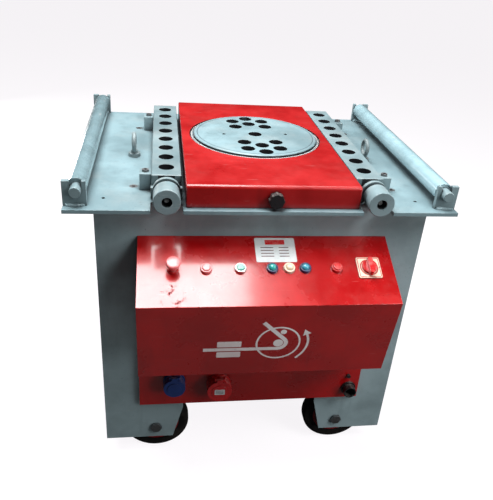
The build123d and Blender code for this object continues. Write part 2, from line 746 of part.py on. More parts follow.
RAILS_X = span(BODY_X - TOP_X, BODY_W - 2 * SIDE_T)   # from side panel to side panel
SHELF_X = (-60.0, RAILS_X[1])
SHELF_Y = (MOTOR[1] - 155, MOTOR[1] + 155)
SHELF_T = 12.0
SHELF_RAIL = 30.0
MOTOR_SHAFT_R = 12.0


def motor_shelf():
    """Shelf plate on two rails that run from side to side of the cabinet."""
    shelf = block(SHELF_X, SHELF_Y, (SHELF_TOP - SHELF_T, SHELF_TOP))
    low = SHELF_TOP - SHELF_T - SHELF_RAIL
    for y in (SHELF_Y[0], SHELF_Y[1] - SHELF_RAIL):
        shelf += block(RAILS_X, (y, y + SHELF_RAIL), (low, SHELF_TOP - SHELF_T))
    return shelf - rod("z", MOTOR, (SHELF_TOP - 20, SHELF_TOP + 1), 50)


FINS = 24
FIN_T = 4.0
SHIELD_T = 14.0
COWL_R = MOTOR_R - 6
COWL_MOUTH_R = 30.0


def motor_housing():
    """Finned motor body hung under the shelf, with its end shields and fan cowl."""
    low, high = MOTOR_Z
    shell = rod("z", MOTOR, (low, high), MOTOR_R - 12)
    fin = Pos(MOTOR_R - 10, 0, (low + high) / 2) * Box(20, FIN_T, high - low - 50)
    for i in range(FINS):
        shell += Pos(*MOTOR, 0) * Rot(0, 0, (i + 0.5) * 360 / FINS) * fin
    shell += rod("z", MOTOR, (high - SHIELD_T, high), MOTOR_R)
    shell -= rod("z", MOTOR, (low + 12, high - SHIELD_T), MOTOR_R - 24)
    shell -= rod("z", MOTOR, (low - 1, high + 1), MOTOR_SHAFT_R + RUN)
    cowl = ring("z", MOTOR, (COWL_Z, low - 1), COWL_R, COWL_R - SHEET)
    cowl += ring("z", MOTOR, (COWL_Z, COWL_Z + SHEET), COWL_R, COWL_MOUTH_R)
    return shell, cowl


def motor_shaft():
    """Shaft with the rotor pack inside the housing."""
    shaft = rod("z", MOTOR, (COWL_Z + 12, PULLEY_Z[1] + 3), MOTOR_SHAFT_R)
    return shaft + rod("z", MOTOR, (MOTOR_Z[0] + 60, MOTOR_Z[1] - 70), 26)


FAN_Z = (COWL_Z + 16, COWL_Z + 44)
FAN_BLADES = 7


def motor_fan():
    fan = rod("z", MOTOR, FAN_Z, 22)
    blade = Pos(40, 0, sum(FAN_Z) / 2) * Box(50, 2.5, FAN_Z[1] - FAN_Z[0] - 4)
    for i in range(FAN_BLADES):
        fan += Pos(*MOTOR, 0) * Rot(0, 0, i * 360 / FAN_BLADES) * blade
    return fan - rod("z", MOTOR, (FAN_Z[0] - 1, FAN_Z[1] + 1), MOTOR_SHAFT_R + SEAT)


# ---- turntable cover ------------------------------------------------------------------------
COVER_LIFT = 0.5
KNUCKLE_R = 6.0
HINGE_PIN_R = 3.0
FIXED_KNUCKLE = 30.0
MOVING_KNUCKLE = 16.0
LATCH_SCREW_R = 5.0


def turntable_cover():
    """Sheet box over the drive with a round opening, and its half of the two hinges."""
    low = TABLE_TOP + COVER_LIFT
    shell = block(span(0, COVER_W), (COVER_Y0, COVER_Y1), (low, COVER_TOP))
    top_front = shell.edges().filter_by(Axis.X).group_by(Axis.Z)[-1].sort_by(Axis.Y)[0]
    shell = fillet(top_front, 9)
    sides = shell.edges().filter_by(Axis.Y).group_by(Axis.Z)[-1]
    shell = fillet(sides, 3.5)
    inside = (COVER_Y0 + SHEET, COVER_Y1 - SHEET)
    cavity = block(span(0, COVER_W - 2 * SHEET), inside, (low - 1, COVER_TOP - SHEET))
    cavity = fillet(cavity.edges().filter_by(Axis.X).group_by(Axis.Z)[-1].sort_by(Axis.Y)[0], 6)
    shell -= cavity
    shell -= rod("z", (0, TURN_Y), (COVER_TOP - 10, COVER_TOP + 1), COVER_HOLE_R)
    shell -= rod("y", (0, LATCH_Z), (COVER_Y0 - 1, COVER_Y0 + SHEET + 1), LATCH_SCREW_R + RUN)
    for x in HINGE_XS:
        for sx in (-1, 1):
            middle = x + sx * (FIXED_KNUCKLE + MOVING_KNUCKLE + 2 * GAP) / 2
            ends = span(middle, MOVING_KNUCKLE)
            shell += rod("x", (HINGE_Y, HINGE_Z), ends, KNUCKLE_R)
            shell += block(ends, (COVER_Y1 - 1, HINGE_Y), (HINGE_Z, HINGE_Z + 5))
            shell -= rod("x", (HINGE_Y, HINGE_Z), (ends[0] - 1, ends[1] + 1), HINGE_PIN_R + RUN)
    return shell


BRACKET_FACE = COVER_Y0 + 20
LATCH_H = 42.0


def cover_mounts():
    """The hinges' table halves with their pins, and the slotted bracket that the latch screw drops in."""
    pieces = []
    for x in HINGE_XS:
        leaf = block(span(x, FIXED_KNUCKLE), (HINGE_Y, HINGE_Y + 20), (TABLE_TOP, TABLE_TOP + 4))
        leaf += rod("x", (HINGE_Y, HINGE_Z), span(x, FIXED_KNUCKLE), KNUCKLE_R)
        leaf += block(span(x, FIXED_KNUCKLE), (HINGE_Y - 3, HINGE_Y + 3), (TABLE_TOP, HINGE_Z))
        pin_l = FIXED_KNUCKLE + 2 * MOVING_KNUCKLE + 2
        pieces.append(leaf + rod("x", (HINGE_Y, HINGE_Z), span(x, pin_l), HINGE_PIN_R))
    foot = (BRACKET_FACE, BRACKET_FACE + 34)
    bracket = block(span(0, 50), (BRACKET_FACE, BRACKET_FACE + 4), (TABLE_TOP, TABLE_TOP + LATCH_H))
    bracket += block(span(0, 50), foot, (TABLE_TOP, TABLE_TOP + 4))
    slot_w = 2 * LATCH_SCREW_R + 1
    cut = (BRACKET_FACE - 1, BRACKET_FACE + 5)
    bracket -= block(span(0, slot_w), cut, (LATCH_Z - LATCH_SCREW_R - 1, TABLE_TOP + LATCH_H + 1))
    return pieces + [bracket]


STAR_R = 20.0
STAR_LOBES = 8


def cover_knob():
    """Fluted hand knob with its screw."""
    front = COVER_Y0 - 24
    knob = rod("y", (0, LATCH_Z), (front, COVER_Y0 - 6), STAR_R - 2)
    for i in range(STAR_LOBES):
        a = 2 * math.pi * i / STAR_LOBES
        place = ((STAR_R - 5) * math.sin(a), LATCH_Z + (STAR_R - 5) * math.cos(a))
        knob += rod("y", place, (front + 1, COVER_Y0 - 7), 5)
    knob += rod("y", (0, LATCH_Z), (COVER_Y0 - 6, COVER_Y0 - GAP), 10)
    return knob + rod("y", (0, LATCH_Z), (COVER_Y0 - 6, BRACKET_FACE + 14), LATCH_SCREW_R)


# ---- control console ------------------------------------------------------------------------
SLOPE = math.atan2(SLOPE_TOP[1] - CREASE[1], SLOPE_TOP[0] - CREASE[0])


def on_slope(x, along=CONTROLS_ALONG):
    """Location on the sloped face: local Z stands out of the face, local Y runs up it."""
    y = SLOPE_TOP[0] + along * (CREASE[0] - SLOPE_TOP[0])
    z = SLOPE_TOP[1] + along * (CREASE[1] - SLOPE_TOP[1])
    out = (0, -math.sin(SLOPE), math.cos(SLOPE))
    return Plane(origin=(x, y, z), x_dir=(1, 0, 0), z_dir=out).location


BARREL_R = 11.2
PLUNGER_R = 10.0
BARREL_L = 30.0
BUTTON_XS = (ESTOP_X, STOP_X, START_X, RESET_X)


def console_shell():
    """Folded console, open at the back where it meets the cabinet."""
    outline = [SLOPE_TOP, CREASE, CONSOLE_LOW, (BODY_Y0, CONSOLE_LOW[1])]
    shell = prism_x(outline, -CONSOLE_W / 2, CONSOLE_W / 2)
    inner = offset(face_of(outline), amount=-SHEET, kind=Kind.INTERSECTION)
    half = CONSOLE_W / 2 - SHEET
    plane = Plane(origin=(-half, 0, 0), x_dir=(0, 1, 0), z_dir=(1, 0, 0))
    hollow = extrude(plane * inner, 2 * half)
    top = SLOPE_TOP[1] - SHEET * 2.5
    hollow += block((-half, half), (BODY_Y0 - 2 * SHEET, BODY_Y0 + 1), (CONSOLE_LOW[1] + SHEET, top))
    shell -= hollow
    for x in BUTTON_XS + LAMP_XS:
        shell -= on_slope(x) * Cylinder(BARREL_R + SEAT, 20)
    return shell - on_slope(ISOLATOR_X) * Cylinder(8, 20)


def up(height, radius, base=0.0):
    """Cylinder that stands on local Z = base."""
    return Pos(0, 0, base + height / 2) * Cylinder(radius, height)


def bezel(x, plunger):
    """Clamping ring and barrel of one control."""
    body = up(5, CONTROL_R) + up(BARREL_L, BARREL_R, -BARREL_L)
    if plunger:
        body -= up(BARREL_L + 10, PLUNGER_R + GAP, -BARREL_L - 1)
    else:
        body -= up(10, PLUNGER_R + GAP, 2)
    return on_slope(x) * body


def control_bezels():
    return [bezel(x, True) for x in BUTTON_XS] + [bezel(x, False) for x in LAMP_XS]


def push_button(x):
    cap = up(36, PLUNGER_R, -25)
    cap = fillet(cap.edges().filter_by(GeomType.CIRCLE).sort_by(Axis.Z)[-1], 1.5)
    return on_slope(x) * cap


def estop_button():
    """Mushroom head on a long collar."""
    stem = [(0, -25), (PLUNGER_R, -25), (PLUNGER_R, 11), (13, 12), (13, 22)]
    profile = stem + [(18, 24), (18, 31), (14, 35), (0, 36)]
    head = revolve(Plane.XZ * face_of(profile), Axis.Z)
    return on_slope(ESTOP_X) * head


def pilot_lamp(x):
    lens = up(4, PLUNGER_R, 2.0) + Pos(0, 0, 6) * (Sphere(PLUNGER_R) & up(PLUNGER_R, 2 * PLUNGER_R))
    return on_slope(x) * lens


ISOLATOR_W = 62.0


def isolator_plate():
    plate = extrude(RectangleRounded(ISOLATOR_W, ISOLATOR_W, 4), 4)
    plate += up(30, 24, -30 - SHEET - 2)
    plate += up(SHEET + 3, 7.9, -SHEET - 2.5)
    return on_slope(ISOLATOR_X) * (plate - up(60, 5 + RUN, -50))


def isolator_knob():
    """Round skirt with a grip bar across it; at rest it points down the slope."""
    knob = up(8, 20, 4 + GAP)
    grip = Pos(0, -4, 16) * Box(13, 46, 18)
    knob += fillet(grip.edges().filter_by(Axis.Z), 5)
    return on_slope(ISOLATOR_X) * (knob + up(40, 5, -28))


# ---- lower panel, electrics and sockets -----------------------------------------------------
def socket_hole(socket, ratio):
    x, z, radius = socket
    return rod("y", (x, z), (PANEL_Y - 1, PANEL_Y + SHEET + 1), radius * ratio)


def lower_panel():
    high = CONSOLE_LOW[1] - 0.5
    panel = block(span(0, PANEL_W), (PANEL_Y, BODY_Y0), (PANEL_Z, high))
    inner_z = (PANEL_Z + SHEET, high - SHEET)
    panel -= block(span(0, PANEL_W - 2 * SHEET), (PANEL_Y + SHEET, BODY_Y0 + 1), inner_z)
    panel -= socket_hole(BLUE_SOCKET, SOCKET_NECK) + socket_hole(RED_SOCKET, SOCKET_NECK)
    return panel - socket_hole(PEDAL_SOCKET, SOCKET_NECK)


BOX_Y = (BODY_Y0 + PLATE, BODY_Y0 + 110)
BOX_Z = (WINDOW[1][0] + 4, WINDOW[1][1] - 4)


def electrical_box():
    """Tray behind the lower panel, closed by it at the front."""
    x = span(0, WINDOW[0][1] * 2 - 4)
    box = block(x, BOX_Y, BOX_Z)
    inner = block((x[0] + 2, x[1] - 2), (BOX_Y[0] - 1, BOX_Y[1] - 2), (BOX_Z[0] + 2, BOX_Z[1] - 2))
    return box - inner


CONTACTORS = 4
CONTACTOR_X = -20.0
CONTACTOR_PITCH = 60.0
CONTACTOR_W = 45.0
CONTACTOR_Z = (300.0, 375.0)
TRANSFORMER_X = (200.0, 280.0)


def contactors():
    """Row of contactors and a control transformer on the tray's back wall."""
    back = BOX_Y[1] - 2
    parts = []
    for i in range(CONTACTORS):
        x = CONTACTOR_X + i * CONTACTOR_PITCH
        body = block(span(x, CONTACTOR_W), (back - 70, back), CONTACTOR_Z)
        nose_z = (CONTACTOR_Z[0] + 12, CONTACTOR_Z[1] - 12)
        parts.append(body + block(span(x, CONTACTOR_W - 12), (back - 80, back - 70), nose_z))
    transformer_z = (CONTACTOR_Z[0] - 5, CONTACTOR_Z[1] + 5)
    parts.append(block(TRANSFORMER_X, (back - 60, back), transformer_z))
    return parts


SOCKET_NECK = 0.58
SOCKET_FRONT = PANEL_Y - 32
SOCKET_DEPTH = 28.0
SOCKET_WALL = 4.0
CONTACT_L = 14.0
LID_Y = (SOCKET_FRONT - 4 - GAP, SOCKET_FRONT - GAP)
LID_HINGE_Y = SOCKET_FRONT + 3


def power_socket(socket):
    """Round appliance inlet: flange, housing with a deep mouth, contact pins, hinge lugs."""
    x, z, radius = socket
    at = (x, z)
    neck = radius * SOCKET_NECK
    body = rod("y", at, (SOCKET_FRONT, PANEL_Y), radius - 3)
    body += rod("y", at, (PANEL_Y - 4, PANEL_Y), radius)
    body += rod("y", at, (PANEL_Y, PANEL_Y + 36), neck - SEAT)
    mouth = radius - 3 - SOCKET_WALL
    foot = SOCKET_FRONT + SOCKET_DEPTH
    body -= rod("y", at, (SOCKET_FRONT - 1, foot), mouth)
    for i in range(3):
        a = math.radians(90 + 120 * i)
        contact = (x + mouth / 2 * math.cos(a), z + mouth / 2 * math.sin(a))
        body += rod("y", contact, (foot - CONTACT_L, foot + 1), 2.5)
    hinge_z = z + radius + 3
    for sx in (-1, 1):
        lug_x = span(x + sx * 12, 6)
        body += block(lug_x, (SOCKET_FRONT, SOCKET_FRONT + 12), (z + radius - 7, hinge_z + 3))
    return body - rod("x", (LID_HINGE_Y, hinge_z), (x - 20, x + 20), 1.5)


def socket_lid(socket):
    """Spring lid with its hinge ear and pin."""
    x, z, radius = socket
    hinge_z = z + radius + 3
    lid = rod("y", (x, z), LID_Y, radius - 1)
    lid += rod("y", (x, z), (LID_Y[0] - 2, LID_Y[0]), radius * 0.62)
    ear = span(x, 17)
    lid += block(ear, LID_Y, (z + radius - 6, hinge_z))
    lid += rod("x", (LID_HINGE_Y, hinge_z), ear, 3)
    lid += block(ear, (LID_Y[0], LID_HINGE_Y), (hinge_z, hinge_z + 3))
    return lid + rod("x", (LID_HINGE_Y, hinge_z), (x - 15, x + 15), 1.5 - RUN)


def pedal_socket():
    """Round multi-pole socket for the foot switch, with the lock stud above it."""
    x, z, radius = PEDAL_SOCKET
    body = rod("y", (x, z), (PANEL_Y - 26, PANEL_Y), radius - 4)
    body += rod("y", (x, z), (PANEL_Y - 5, PANEL_Y), radius)
    body += rod("y", (x, z), (PANEL_Y, PANEL_Y + 11), radius * SOCKET_NECK - SEAT)
    body -= rod("y", (x, z), (PANEL_Y - 27, PANEL_Y - 4), radius - 7)
    stud = rod("y", (x - 6, z + 48), (PANEL_Y - 8, PANEL_Y), 6)
    return body, stud


# ---- write every sub-part -------------------------------------------------------------------
def write_structure():
    save("table_plate", table_plate())
    save("front_frame", front_frame(), x=BODY_X)
    save("rear_frame", rear_frame(), x=BODY_X)
    save("side_panel_right", side_panel(), x=BODY_X)
    save("side_panel_left", mirrored(side_panel()), x=BODY_X)
    save("cross_rails", cross_rail(BODY_Y0 + PLATE, 1), cross_rail(BODY_Y1 - PLATE, -1), x=BODY_X)
    save("axle_bolts", *[axle_bolt(x, y, toward) for _, x, y, toward in wheel_places()], x=BODY_X)
    for name, x, y, toward in wheel_places():
        save(f"wheel_{name}", *road_wheel(x, y, toward), x=BODY_X)


def write_table_fittings():
    brackets = [roller_bracket(y) for y in BRACKET_YS]
    save("roller_brackets", *brackets, *map(mirrored, brackets))
    save("roller_shafts", *both_sides(roller_shaft()))
    save("roller_right", *roller())
    save("roller_left", *map(mirrored, roller()))
    guides = [guide_block(y) for y in GUIDE_YS]
    save("guide_blocks", *guides, *map(mirrored, guides), x=TOP_X)
    bolts = [guide_bolt(y) for y in GUIDE_YS]
    bolts += [mirrored(bolt) for bolt in bolts]
    save("table_fasteners", *bolts, *[table_bolt(*at) for at in TABLE_BOLTS], x=TOP_X)
    save("screw_yokes", *both_sides(screw_yoke()), x=TOP_X)
    save("eye_bolts", *both_sides(eye_bolt()), x=BODY_X)
    for side, place in (("right", lambda s: s), ("left", mirrored)):
        save(f"hole_bar_{side}", place(hole_bar()), x=TOP_X)
        save(f"adjusting_wheel_{side}", place(adjusting_wheel()), place(lead_screw()), x=TOP_X)


def write_drive():
    save("turntable_disc", turntable_disc(), x=TOP_X)
    save("index_ring", index_ring(), x=TOP_X)
    save("main_shaft", main_shaft(), x=TOP_X)
    save("drive_gear", drive_gear(), x=TOP_X)
    save("bearing_housing", bearing_housing(), x=TOP_X)
    save("bearings", *bearings(), x=TOP_X)
    save("countershaft", countershaft(), x=TOP_X)
    save("countershaft_gear", countershaft_gear(), x=TOP_X)
    save("input_shaft", input_shaft(), x=TOP_X)
    save("driven_pulley", pulley(INPUT, DRIVEN_R, INPUT_R + SEAT), x=TOP_X)
    save("gear_case", gear_case(), x=TOP_X)
    save("gear_case_lid", gear_case_lid(), x=TOP_X)
    save("v_belts", *[v_belt(middle) for middle in GROOVES], x=TOP_X)
    save("motor_shelf", motor_shelf(), x=TOP_X)
    save("motor_housing", *motor_housing(), x=TOP_X)
    save("motor_shaft", motor_shaft(), x=TOP_X)
    save("motor_pulley", pulley(MOTOR, DRIVER_R, MOTOR_SHAFT_R + SEAT), x=TOP_X)
    save("motor_fan", motor_fan(), x=TOP_X)


def write_cover_and_console():
    save("turntable_cover", turntable_cover(), x=TOP_X)
    save("cover_mounts", *cover_mounts(), x=TOP_X)
    save("cover_knob", cover_knob(), x=TOP_X)
    save("console_shell", console_shell(), x=BODY_X)
    save("control_bezels", *control_bezels(), x=BODY_X)
    save("estop_button", estop_button(), x=BODY_X)
    save("stop_button", push_button(STOP_X), x=BODY_X)
    save("start_button", push_button(START_X), x=BODY_X)
    save("reset_button", push_button(RESET_X), x=BODY_X)
    save("pilot_lamps", *[pilot_lamp(x) for x in LAMP_XS], x=BODY_X)
    save("isolator_plate", isolator_plate(), x=BODY_X)
    save("isolator_knob", isolator_knob(), x=BODY_X)
    save("lower_panel", lower_panel(), x=BODY_X)
    save("electrical_box", electrical_box(), *contactors(), x=BODY_X)
    save("blue_socket", power_socket(BLUE_SOCKET), x=BODY_X)
    save("red_socket", power_socket(RED_SOCKET), x=BODY_X)
    save("blue_socket_lid", socket_lid(BLUE_SOCKET), x=BODY_X)
    save("red_socket_lid", socket_lid(RED_SOCKET), x=BODY_X)
    save("pedal_socket", *pedal_socket(), x=BODY_X)


os.makedirs("parts", exist_ok=True)
write_structure()
write_table_fittings()
write_drive()
write_cover_and_console()
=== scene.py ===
"""Looks of the rebar bender: painted steel, welds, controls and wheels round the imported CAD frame."""
import json
import math
import random

import bmesh
import bpy
from mathutils import Matrix, Vector


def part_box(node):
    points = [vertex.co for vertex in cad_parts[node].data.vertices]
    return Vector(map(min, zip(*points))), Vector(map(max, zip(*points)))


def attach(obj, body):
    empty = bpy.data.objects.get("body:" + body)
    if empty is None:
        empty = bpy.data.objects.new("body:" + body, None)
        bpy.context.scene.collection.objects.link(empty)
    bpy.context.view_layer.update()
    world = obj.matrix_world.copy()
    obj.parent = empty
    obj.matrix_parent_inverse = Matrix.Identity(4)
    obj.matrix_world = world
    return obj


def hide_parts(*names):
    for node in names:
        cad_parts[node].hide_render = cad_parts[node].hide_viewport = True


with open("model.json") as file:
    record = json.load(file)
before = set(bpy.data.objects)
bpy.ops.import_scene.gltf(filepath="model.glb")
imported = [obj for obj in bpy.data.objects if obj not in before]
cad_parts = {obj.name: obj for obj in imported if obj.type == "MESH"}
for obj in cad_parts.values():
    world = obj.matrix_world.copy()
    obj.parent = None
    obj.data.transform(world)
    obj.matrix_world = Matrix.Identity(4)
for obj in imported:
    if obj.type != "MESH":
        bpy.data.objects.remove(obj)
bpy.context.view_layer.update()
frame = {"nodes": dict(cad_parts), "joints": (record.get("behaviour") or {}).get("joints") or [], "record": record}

MM = 0.001
ALL_WAYS = (1.0, 1.0, 1.0)
NODES = frame["nodes"]
JOINTS = {joint["name"]: joint for joint in frame["joints"]}
random.seed(7)

# Paint and plastic colours, linear RGB.
PALE_BLUE = (0.175, 0.262, 0.288)
BLUE_GREY = (0.175, 0.25, 0.27)
CABINET_GREY = (0.28, 0.375, 0.40)
RED = (0.40, 0.001, 0.002)
# COVER_RED: the red enamel made darker for the cover, as painted shade against the strong light on its top.
COVER_RED = (0.30, 0.003, 0.0035)
DARK_RED = (0.30, 0.008, 0.012)
PRIMER = (0.16, 0.10, 0.08)
DUST = (0.46, 0.42, 0.38)
BARE_STEEL = (0.52, 0.52, 0.50)
# NOOK_SHADE: near-black painted shade for holes, corners and shaded walls.
NOOK_SHADE = (0.010, 0.010, 0.012)
BLACK = (0.012, 0.012, 0.014)
RUBBER = (0.010, 0.009, 0.009)
DIRT = (0.06, 0.05, 0.045)
OIL_STAIN = (0.13, 0.11, 0.095)
# Pale pink of the red enamel's worn edges: chipped paint and a painted edge highlight.
CHIP_AND_HIGHLIGHT_PINK = (0.75, 0.30, 0.28)
DARK_PATCH_RED = (0.07, 0.004, 0.006)
# STEP_SHADE: painted shadow of a rim step, drawn as a dark line on the flat disc.
STEP_SHADE = (0.03, 0.04, 0.045)
WHITE_PAINT = (1.0, 0.86, 0.86)


# ---- materials --------------------------------------------------------------------------------
def shade(colour, factor):
    """The colour made darker or lighter."""
    return tuple(factor * c for c in colour)


class Paint:
    """One procedural material, with short names for the nodes that it is built from."""

    def __init__(self, name, colour, roughness, metallic=0.0):
        self.material = bpy.data.materials.new(name)
        self.material.use_nodes = True
        self.tree = self.material.node_tree
        self.shader = self.tree.nodes["Principled BSDF"]
        self.set("Base Color", (*colour, 1.0))
        self.set("Roughness", roughness)
        self.set("Metallic", metallic)
        self.coords = self.add("ShaderNodeTexCoord").outputs["Object"]

    @classmethod
    def on(cls, material):
        """Reopens a material that's already built."""
        paint = cls.__new__(cls)
        paint.material = material
        paint.tree = material.node_tree
        paint.shader = paint.tree.nodes["Principled BSDF"]
        paint.coords = paint.add("ShaderNodeTexCoord").outputs["Object"]
        return paint

    def over(self, name, mask, value):
        """Lays a value over whatever feeds a shader input, where the mask is 1."""
        socket = self.shader.inputs[name]
        under = socket.links[0].from_socket if socket.links else None
        if isinstance(value, tuple):
            self.join(self.mix(mask, under, value), socket)
        else:
            start = under if under else socket.default_value
            self.join(self.band(mask, 0.0, 1.0, start, value), socket)

    def add(self, kind, **settings):
        node = self.tree.nodes.new(kind)
        for key, value in settings.items():
            setattr(node, key, value)
        return node

    def join(self, value, socket):
        """Links a socket, or sets a constant."""
        if isinstance(value, bpy.types.NodeSocket):
            self.tree.links.new(value, socket)
        elif isinstance(value, tuple) and len(value) == 3 and socket.type == "RGBA":
            socket.default_value = (*value, 1.0)
        else:
            socket.default_value = value

    def set(self, name, value):
        self.join(value, self.shader.inputs[name])

    def noise(self, scale, detail, roughness, stretch=ALL_WAYS):
        """Noise over the surface, finer as the scale grows; stretch scales it by axis."""
        mapping = self.add("ShaderNodeMapping")
        self.join(self.coords, mapping.inputs["Vector"])
        mapping.inputs["Scale"].default_value = stretch
        noise = self.add("ShaderNodeTexNoise")
        self.join(mapping.outputs[0], noise.inputs["Vector"])
        noise.inputs["Scale"].default_value = scale
        noise.inputs["Detail"].default_value = detail
        noise.inputs["Roughness"].default_value = roughness
        return noise.outputs[0]

    def band(self, value, low, high, start=0.0, end=1.0):
        """Smooth step from start to end as value goes from low to high."""
        step = self.add("ShaderNodeMapRange", interpolation_type="SMOOTHSTEP")
        for number, part in enumerate((value, low, high, start, end)):
            self.join(part, step.inputs[number])
        return step.outputs[0]

    def maths(self, operation, a, b):
        node = self.add("ShaderNodeMath", operation=operation)
        self.join(a, node.inputs[0])
        self.join(b, node.inputs[1])
        return node.outputs[0]

    def mix(self, mask, a, b):
        node = self.add("ShaderNodeMix", data_type="RGBA")
        self.join(mask, node.inputs["Factor"])
        self.join(a, node.inputs[6])
        self.join(b, node.inputs[7])
        return node.outputs[2]

    def facing_up(self):
        """1 where the surface faces straight up, -1 where it faces down."""
        normal = self.add("ShaderNodeNewGeometry").outputs["Normal"]
        split = self.add("ShaderNodeSeparateXYZ")
        self.join(normal, split.inputs[0])
        return split.outputs["Z"]

    def edges(self, radius):
        """1 on outside and inside edges, from how far a rounded normal leans away."""
        rounded = self.add("ShaderNodeBevel", samples=4)
        rounded.inputs["Radius"].default_value = radius
        normal = self.add("ShaderNodeNewGeometry").outputs["Normal"]
        dot = self.add("ShaderNodeVectorMath", operation="DOT_PRODUCT")
        self.join(rounded.outputs[0], dot.inputs[0])
        self.join(normal, dot.inputs[1])
        return self.band(dot.outputs["Value"], 0.93, 0.80)

    def shade_in_nooks(self, reach):
        """1 deep inside holes and corners, where shade falls; it drives painted shade."""
        shelter = self.add("ShaderNodeAmbientOcclusion", samples=8)
        shelter.inputs["Distance"].default_value = reach
        return self.band(shelter.outputs["AO"], 0.72, 0.36)

    def walls_within(self, origin, keep, reach):
        """1 on upright faces whose place, less the origin and times keep, is shorter than the reach."""
        shifted = self.add("ShaderNodeVectorMath", operation="SUBTRACT")
        self.join(self.coords, shifted.inputs[0])
        shifted.inputs[1].default_value = origin
        kept = self.add("ShaderNodeVectorMath", operation="MULTIPLY")
        self.join(shifted.outputs[0], kept.inputs[0])
        kept.inputs[1].default_value = keep
        size = self.add("ShaderNodeVectorMath", operation="LENGTH")
        self.join(kept.outputs[0], size.inputs[0])
        upright = self.band(self.maths("ABSOLUTE", self.facing_up(), 0.0), 0.7, 0.4)
        inside = self.band(size.outputs["Value"], reach + 0.2 * MM, reach)
        return self.maths("MULTIPLY", upright, inside)

    def distance(self, place, origin):
        """How far a place is from a fixed point."""
        away = self.add("ShaderNodeVectorMath", operation="DISTANCE")
        self.join(place, away.inputs[0])
        away.inputs[1].default_value = origin
        return away.outputs["Value"]

    def bump(self, height, distance, strength):
        bump = self.add("ShaderNodeBump")
        bump.inputs["Strength"].default_value = strength
        bump.inputs["Distance"].default_value = distance
        self.join(height, bump.inputs["Height"])
        self.join(bump.outputs[0], self.shader.inputs["Normal"])


def enamel(name, colour, roughness=0.3, wear=0.6, dust=0.3, under=BARE_STEEL, coat=0.3,
           edge=1.6 * MM, dust_and_nook_shade=0.9, bores=None):
    """Sprayed enamel: mottled, orange peel, chipped edges, painted shade in corners and holes, dust where it faces
    up.
    """
    paint = Paint(name, colour, roughness)
    darker = shade(colour, 0.8)
    lighter = tuple(min(1.0, 1.14 * c) for c in colour)
    broad = paint.noise(5.0, 5.0, 0.65)
    tone = paint.mix(paint.band(broad, 0.32, 0.68), darker, lighter)
    streaks = paint.band(paint.noise(26.0, 3.0, 0.6, (1.0, 1.0, 0.12)), 0.55, 0.78, 0.0, 0.35)
    tone = paint.mix(streaks, tone, shade(colour, 0.55))
    specks = paint.band(paint.noise(160.0, 2.0, 0.5), 0.66, 0.74, 0.0, 0.55)
    tone = paint.mix(specks, tone, shade(colour, 0.45))
    up = paint.band(paint.facing_up(), 0.15, 0.8)
    film = paint.band(paint.noise(9.0, 6.0, 0.7), 0.45, 0.72, 0.0, dust)
    tone = paint.mix(paint.maths("MULTIPLY", up, film), tone, DUST)
    if wear:
        chips = paint.band(paint.noise(55.0, 5.0, 0.7), 0.46, 0.56)
        worn = paint.maths("MULTIPLY", paint.edges(edge), chips)
        scratch = paint.band(paint.noise(240.0, 2.0, 0.5, (0.05, 1.0, 1.0)), 0.70, 0.76)
        worn = paint.maths("MAXIMUM", worn, paint.maths("MULTIPLY", scratch, 0.35))
        worn = paint.maths("MULTIPLY", worn, wear)
        tone = paint.mix(worn, tone, under)
    # Painted shade: the colour goes near-black where ambient occlusion finds nooks and holes.
    deep = paint.maths("MULTIPLY", paint.shade_in_nooks(34 * MM), dust_and_nook_shade)
    # Upright walls within the bores' reach get the same near-black painted shade.
    if bores:
        deep = paint.maths("MAXIMUM", deep, paint.walls_within(*bores))
    tone = paint.mix(deep, tone, NOOK_SHADE)
    paint.set("Base Color", tone)
    paint.set("Roughness", paint.band(broad, 0.25, 0.75, roughness * 0.8, roughness * 1.45))
    paint.set("Coat Weight", paint.band(deep, 0.0, 0.5, coat, 0.0))
    paint.set("Coat Roughness", 0.12)
    peel = paint.maths("MULTIPLY", paint.noise(210.0, 2.0, 0.5), 0.6)
    peel = paint.maths("ADD", peel, paint.noise(32.0, 3.0, 0.6))
    paint.bump(peel, 0.35 * MM, 0.5)
    return paint.material


def red_enamel(name):
    """Glossy red of the console and its panels, pale pink in chips along its edges: partly chipped paint, partly a
    painted edge highlight.
    """
    return enamel(name, RED, roughness=0.26, wear=0.4, dust=0.05, under=CHIP_AND_HIGHLIGHT_PINK, coat=0.7, edge=2.2 * MM)


def rubbed_pipe(name, painted_light_scale):
    """Roller enamel polished by the bars that slide over it, with a fine sparkle, made lighter or darker as a
    whole as painted light and shade.
    """
    colour = shade(PALE_BLUE, painted_light_scale)
    paint = Paint(name, colour, 0.26)
    grain = paint.noise(900.0, 2.0, 0.5)
    broad = paint.noise(12.0, 4.0, 0.6)
    tone = paint.mix(paint.band(broad, 0.3, 0.7), shade(colour, 0.88), shade(colour, 1.18))
    rubs = paint.band(paint.noise(60.0, 4.0, 0.65, (1.0, 0.3, 1.0)), 0.62, 0.70, 0.0, 0.35)
    paint.set("Base Color", paint.mix(rubs, tone, BARE_STEEL))
    paint.set("Roughness", paint.band(grain, 0.3, 0.7, 0.16, 0.34))
    paint.set("Coat Weight", 0.8)
    paint.set("Coat Roughness", 0.16)
    paint.bump(grain, 0.12 * MM, 0.5)
    return paint.material


